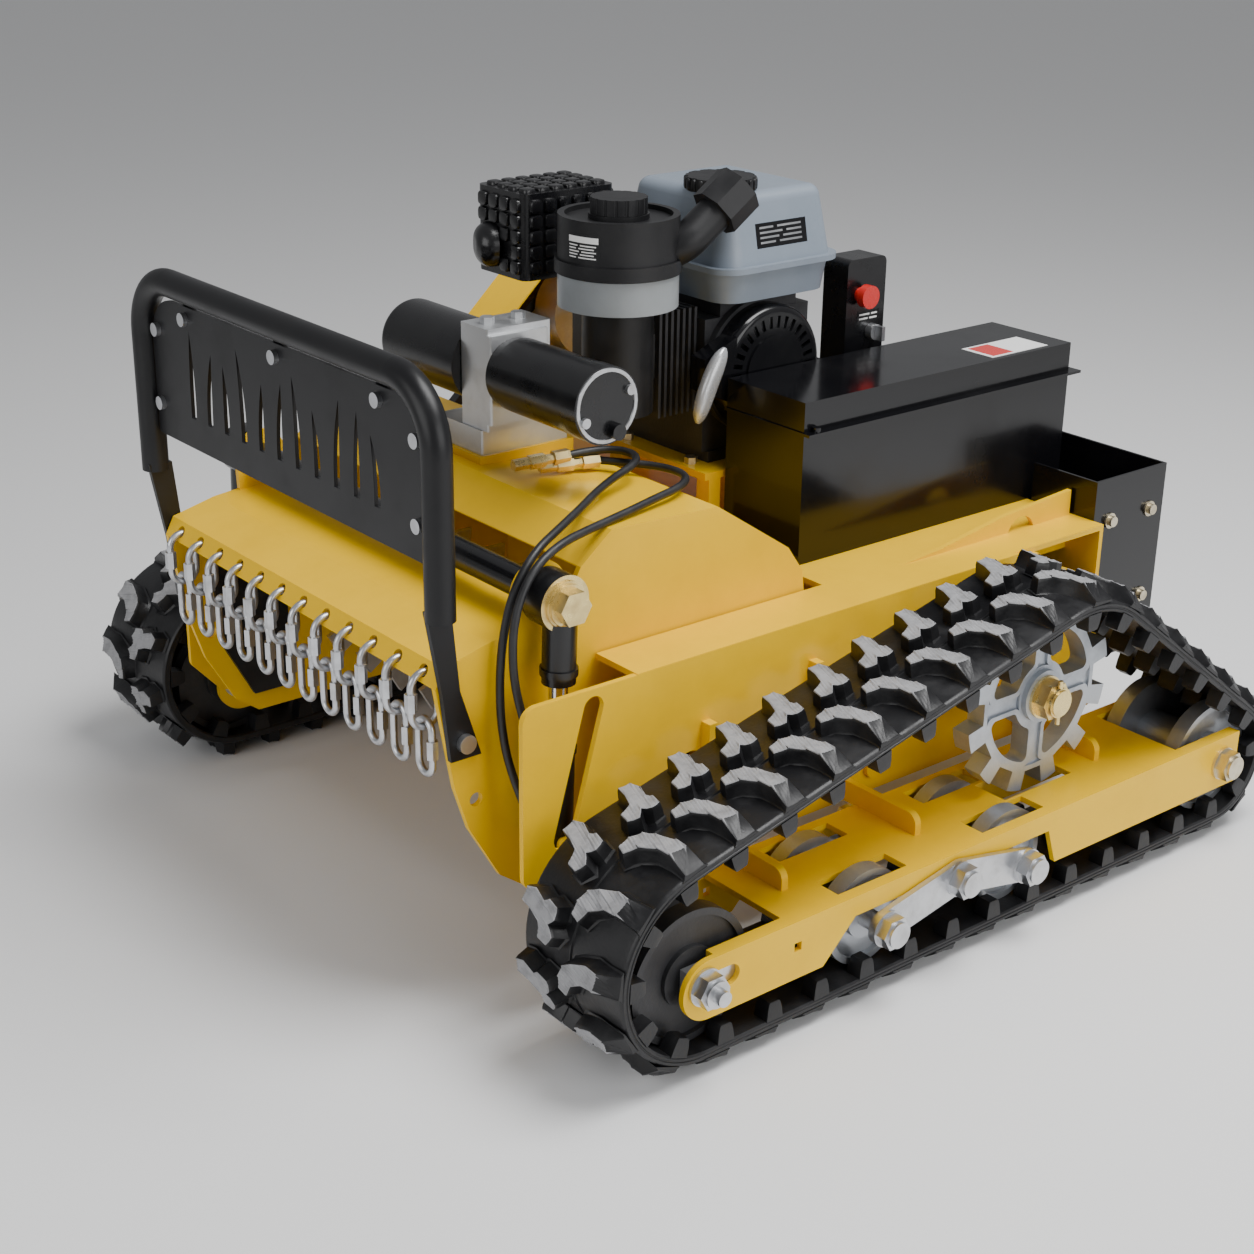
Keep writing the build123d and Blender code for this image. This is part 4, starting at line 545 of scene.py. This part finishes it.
def belt_spots(side, shift):
    spots = []
    for k in range(LINKS):
        y, z, angle = belt_place(PHASE + (k + shift) * BELT_LENGTH / LINKS, 0)
        spots.append((side * BELT_MID_X * MM, y * MM, z * MM, (angle - math.pi / 2, 0, 0)))
    return spots


def track(side, name):
    parts = [carcass_mesh(side)]
    for key, shape, shift in (("inner_stud", INNER_STUD, 0.5), ("outer_stud", OUTER_STUD, 0.0)):
        parts.append(lay(name + key, stud_mesh(key, shape, side), belt_spots(side, shift), RUBBER))
    for x0, x1 in ((-70, -52), (-12, 12), (52, 70)):
        parts.append(lay(name + "drive_lug", drive_lug_mesh(x0, x1, side), belt_spots(side, 0.0), RUBBER))
    piece = joined(name, parts)
    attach(piece, "chassis")
    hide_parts("rubber_tracks")


track(1, "track_right")
track(-1, "track_left")

# ------------------------------------------------------------------ hoses
HOSE_R = 4.0
HOSES = {
    "pressure_hose": ((92, -208, 459), (97, -182, 461), (114, -161, 462), (140, -158, 462), (160, -178, 461),
                      (172, -210, 459), (192, -248, 458), (218, -290, 455), (240, -332, 450), (257, -372, 442),
                      (265, -402, 414), (267, -416, 372), (267, -420, 324), (268, -418, 276), (274, -410, 230),
                      (285, -398, 187.5)),
    "return_hose": ((100, -176, 450), (124, -158, 450), (158, -136, 450), (192, -136, 450), (214, -162, 450),
                    (226, -204, 450), (238, -252, 448), (250, -302, 447), (264, -350, 446), (274, -388, 432),
                    (278, -410, 398), (281, -416, 352), (284, -410, 306), (286, -396, 261.4)),
}


def hose(name, route):
    """A round rubber hose on one smooth spline; returns it and its measured length."""
    curve = bpy.data.curves.new(name, "CURVE")
    curve.dimensions = "3D"
    spline = curve.splines.new("NURBS")
    spline.points.add(len(route) - 1)
    for point, place in zip(spline.points, route):
        point.co = (*(c * MM for c in place), 1)
    spline.order_u = 3
    spline.use_endpoint_u = True
    spline.resolution_u = 8
    piece = new_object(name, curve)
    bpy.context.view_layer.update()
    line = bpy.data.meshes.new_from_object(piece.evaluated_get(bpy.context.evaluated_depsgraph_get()))
    length = sum((line.vertices[e.vertices[0]].co - line.vertices[e.vertices[1]].co).length for e in line.edges)
    bpy.data.meshes.remove(line)
    curve.bevel_depth = HOSE_R * MM
    curve.bevel_resolution = 4
    curve.use_fill_caps = True
    curve.materials.append(HOSE)
    return piece, length


for name, route in HOSES.items():
    piece, length = hose(name, route)
    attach(piece, "deck")
    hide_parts("hydraulic_hoses")

# ------------------------------------------------------------------ trim on the engine and boxes
def trim(name, mesh, body, slot, *nodes):
    """Puts a finished mesh on a body's empty and hides the model parts it stands in for."""
    piece = new_object(name, mesh)
    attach(piece, body)
    if nodes:
        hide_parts(*nodes)
    return piece


def outward(mesh):
    """Turns every face of a closed mesh to the outside."""
    bm = bmesh.new()
    bm.from_mesh(mesh)
    bmesh.ops.recalc_face_normals(bm, faces=bm.faces)
    bm.to_mesh(mesh)
    bm.free()
    return mesh


def paint(mesh, look):
    """Gives a whole mesh one finish."""
    mesh.materials.clear()
    mesh.materials.append(look)
    return mesh


def pillow_mesh(name, size_x, size_y, height, corner=0.28):
    """A low pillow: a rounded square with a soft top, base on z = 0."""
    verts, faces = [], []
    count = 16
    for share, z in ((1.0, -0.4), (1.0, 0.45), (0.9, 0.85), (0.62, 1.0)):
        for i in range(count):
            a = 2 * math.pi * (i + 0.5) / count
            c, s = math.cos(a), math.sin(a)
            x = math.copysign(abs(c) ** (2 * corner), c) * size_x / 2 * share
            y = math.copysign(abs(s) ** (2 * corner), s) * size_y / 2 * share
            verts.append((x * MM, y * MM, z * height * MM))
    for k in range(3):
        for i in range(count):
            j = (i + 1) % count
            faces.append((k * count + i, k * count + j, (k + 1) * count + j, (k + 1) * count + i))
    faces.append(tuple(range(3 * count, 4 * count)))
    faces.append(tuple(reversed(range(count))))
    return make_mesh(name, verts, faces, 0.7)


def spread(low, high, pitch):
    """Evenly spaced middles of as many pitches as fit between low and high."""
    count = max(1, round((high - low) / pitch))
    step = (high - low) / count
    return [low + (i + 0.5) * step for i in range(count)], step


MUFFLER_GUARD = (-144.0, -58.0, -150.0, -30.0, 598.0, 688.0)
QUILT = 17.0            # spacing of the pressed pillows on the heat guard
QUILT_LIFT = 4.0


def muffler_quilt():
    x0, x1, y0, y1, z0, z1 = MUFFLER_GUARD
    xs, ys, zs = (spread(a + 5, b - 5, QUILT)[0] for a, b in ((x0, x1), (y0, y1), (z0, z1)))
    flat = math.pi / 2
    spots = [(x, y0, z, (flat, 0, 0)) for x in xs for z in zs if math.dist((x, z), (-116, 628)) > 26]
    spots += [(x, y1, z, (-flat, 0, 0)) for x in xs for z in zs]
    spots += [(x, y, z1, (0, 0, 0)) for x in xs for y in ys]
    spots += [(x0, y, z, (0, -flat, 0)) for y in ys for z in zs]
    spots += [(x1, y, z, (0, flat, 0)) for y in ys for z in zs if z > 650 or not -60 < y < -12]
    places = [(x * MM, y * MM, z * MM, turn) for x, y, z, turn in spots]
    quilt = lay("muffler_quilt", pillow_mesh("quilt_pillow", 15, 15, QUILT_LIFT), places, BLACK)
    trim("muffler_quilt", quilt, "chassis", "black_steel")


def grip_mesh():
    """Curved pull grip: fat in the middle, with a rubbed silver back."""
    length, width, thick = 88.0, 20.0, 15.0
    tilt = math.radians(65)
    along, across = Vector((0, math.cos(tilt), math.sin(tilt))), Vector((0, -math.sin(tilt), math.cos(tilt)))
    centre = Vector((88.6, -17.0, 498.0))
    rings, around = 22, 18
    verts, faces = [], []
    for k in range(rings):
        t = -1 + 2 * k / (rings - 1)
        full = max(0.05, (1 - abs(t) ** 3.2)) ** 0.5
        bow = 3.0 * (1 - t * t)
        for i in range(around):
            a = 2 * math.pi * i / around
            c, s = math.cos(a), math.sin(a)
            u = math.copysign(abs(c) ** 0.75, c) * width / 2 * full + bow
            v = math.copysign(abs(s) ** 0.75, s) * thick / 2 * full
            verts.append((centre + along * t * (length / 2 - 2) + across * u + Vector((v, 0, 0))) * MM)
    for k in range(rings - 1):
        for i in range(around):
            j = (i + 1) % around
            faces.append((k * around + i, k * around + j, (k + 1) * around + j, (k + 1) * around + i))
    faces.append(tuple(reversed(range(around))))
    faces.append(tuple(range((rings - 1) * around, rings * around)))
    mesh = make_mesh("pull_grip", verts, faces, 0.9)
    mesh.materials.append(GRIP_SILVER)
    return mesh


def starter_rope():
    """Pull rope between the cover and the grip: a straight tube of evenly spaced rings."""
    y, z, start, end = -5.0, 506.0, 52.0, 84.0
    rings, around, radius = 33, 10, 2.6
    verts = [((start + (end - start) * k / (rings - 1)) * MM, (y + radius * math.cos(2 * math.pi * i / around)) * MM,
              (z + radius * math.sin(2 * math.pi * i / around)) * MM) for k in range(rings) for i in range(around)]
    faces = [(k * around + i, k * around + (i + 1) % around, (k + 1) * around + (i + 1) % around,
              (k + 1) * around + i) for k in range(rings - 1) for i in range(around)]
    faces += [tuple(reversed(range(around))), tuple((rings - 1) * around + i for i in range(around))]
    piece = new_object("starter_rope", paint(outward(make_mesh("starter_rope", verts, faces, 0.9)), HOSE))
    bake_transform(piece)


def engine_belt():
    """The drive belt: one copy of the model's belt mesh in place of it."""
    piece = new_object("engine_belt", NODES["drive_belt"].data.copy())
    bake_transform(piece)
    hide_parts("drive_belt")


def plate_mesh(name, origin, u, v, rows, look, marks, lift=0.4):
    """A thin sign plate in the plane of u and v, with blank bars where print would be."""
    origin, u, v = Vector(origin), Vector(u), Vector(v)
    out = u.cross(v).normalized()
    verts, faces, inks = [], [], []

    def slab(a0, a1, b0, b1, low, high, ink):
        start = len(verts)
        for level in (low, high):
            for a, b in ((a0, b0), (a1, b0), (a1, b1), (a0, b1)):
                verts.append((origin + u * a + v * b + out * level) * MM)
        faces.extend(tuple(start + i for i in f) for f in
                     ((3, 2, 1, 0), (4, 5, 6, 7), (0, 1, 5, 4), (1, 2, 6, 5), (2, 3, 7, 6), (3, 0, 4, 7)))
        inks.extend([ink] * 6)
    slab(0, 1, 0, 1, -0.3, lift, 0)
    for a0, a1, b0, b1 in rows:
        slab(a0, a1, b0, b1, lift - 0.1, lift + 0.12, 1)
    mesh = bpy.data.meshes.new(name)
    mesh.from_pydata(verts, [], faces)
    mesh.materials.append(look)
    mesh.materials.append(marks)
    mesh.polygons.foreach_set("material_index", inks)
    return mesh


def print_rows(lines, low, high, seed):
    """Blank bars of uneven length, in lines between low and high."""
    rows = []
    step = (high - low) / lines
    for i in range(lines):
        base = low + i * step + step * 0.25
        split = 0.35 + 0.25 * ((seed * 7 + i * 13) % 10) / 10
        rows.append((0.08, split, base, base + step * 0.4))
        rows.append((split + 0.08, 0.9, base, base + step * 0.4))
    return rows


FILTER_AT = Vector((42.0, -106.0))
FILTER_HEAD_R = 62.0


def filter_label():
    """Sign plate wrapped round the front of the filter head, in upright strips."""
    verts, faces, inks = [], [], []
    strips = 24
    a0, a1 = math.radians(-92), math.radians(-56)

    def band(b0, b1, z0, z1, lift, ink):
        count = max(1, round(strips * (b1 - b0)))
        start = len(verts)
        for i in range(count + 1):
            angle = a0 + (a1 - a0) * (b0 + (b1 - b0) * i / count)
            for radius, z in ((FILTER_HEAD_R - 0.4, z0), (FILTER_HEAD_R + lift, z0), (FILTER_HEAD_R + lift, z1),
                              (FILTER_HEAD_R - 0.4, z1)):
                verts.append(((FILTER_AT.x + radius * math.cos(angle)) * MM,
                              (FILTER_AT.y + radius * math.sin(angle)) * MM, z * MM))
        for i in range(count):
            for j in range(4):
                a, b = start + 4 * i + j, start + 4 * i + (j + 1) % 4
                faces.append((a, b, b + 4, a + 4))
                inks.append(ink)
        faces.append(tuple(start + j for j in (3, 2, 1, 0)))
        faces.append(tuple(start + 4 * count + j for j in range(4)))
        inks.extend([ink, ink])
    band(0, 1, 643, 669, 0.35, 0)
    band(0.04, 0.96, 661, 667, 0.5, 1)
    for i in range(5):
        z = 645.5 + 3 * i
        cut = 0.3 + 0.05 * (i % 3)
        band(0.06, cut, z, z + 1.2, 0.5, 1)
        band(cut + 0.08, 0.9 - 0.06 * (i % 2), z, z + 1.2, 0.5, 1)
    mesh = bpy.data.meshes.new("filter_label")
    mesh.from_pydata(verts, [], faces)
    outward(mesh)
    mesh.materials.append(PLASTIC)
    mesh.materials.append(WHITE)
    mesh.polygons.foreach_set("material_index", inks)
    trim("filter_label", mesh, "chassis", "black_plastic")


def ribs_round(name, centre, radius, z0, z1, count, width, look, body, slot_name):
    """Upright rounded ribs standing on a cylinder."""
    rib = pillow_mesh("rib", width, z1 - z0, 2.2, 0.35)
    places = []
    for i in range(count):
        a = 2 * math.pi * i / count
        places.append(((centre[0] + radius * math.cos(a)) * MM, (centre[1] + radius * math.sin(a)) * MM,
                       (z0 + z1) / 2 * MM, (math.pi / 2, 0, a + math.pi / 2)))
    trim(name, lay(name, rib, places, look), body, slot_name)


def lathe_mesh(name, profile, axis_y, axis_z, sides=40):
    """A closed ring turned about an axis along X, from (x, radius) corners."""
    verts = [(x * MM, (axis_y + r * math.cos(a)) * MM, (axis_z + r * math.sin(a)) * MM)
             for a in (2 * math.pi * i / sides for i in range(sides)) for x, r in profile]
    count = len(profile)
    faces = [(i * count + j, i * count + (j + 1) % count, (i + 1) % sides * count + (j + 1) % count,
              (i + 1) % sides * count + j) for i in range(sides) for j in range(count)]
    return outward(make_mesh(name, verts, faces, 0.6))


def motor_end():
    """Bright rim ring on the end of the pump motor."""
    ring = lathe_mesh("motor_ring", ((MOTOR_END - 1, 32.5), (MOTOR_END + 1.2, 33.2), (MOTOR_END + 1.2, 36.6),
                                     (MOTOR_END - 1, 37.3)), *MOTOR_AXIS)
    trim("motor_ring", paint(ring, STEEL), "deck", "bright_steel")


MOTOR_AXIS, MOTOR_END = (-231.0, 535.0), 182.0
motor_end()
muffler_quilt()
trim("pull_grip", grip_mesh(), "starter_grip", "black_plastic", "starter_grip")
starter_rope()
engine_belt()
filter_label()
ribs_round("cap_ribs", (30, 40), 36.6, 689.0, 701.6, 24, 6.0, PLASTIC, "fuel_cap", "black_plastic")

lean = math.radians(12)
tank_sign = plate_mesh("tank_sign", (77.2, 52, 631), (0, 72, 0), (-26 * math.sin(lean), 0, 26 * math.cos(lean)),
                       print_rows(4, 0.12, 0.92, 3), GLOSS, STEEL)
trim("tank_sign", tank_sign, "chassis", "black_plastic")
lid_sign = plate_mesh("lid_sign", (150, 300, 501), (46, 0, 0), (0, 92, 0),
                      [(0.08, 0.92, 0.06, 0.42)], WHITE, RED)
trim("lid_sign", lid_sign, "battery_lid", "gloss_black")
panel_sign = plate_mesh("panel_sign", (60, 224, 524), (0, 34, 0), (0, 0, 12),
                        print_rows(2, 0.1, 0.9, 5), PLASTIC, WHITE, 0.3)
trim("panel_sign", panel_sign, "chassis", "black_steel")
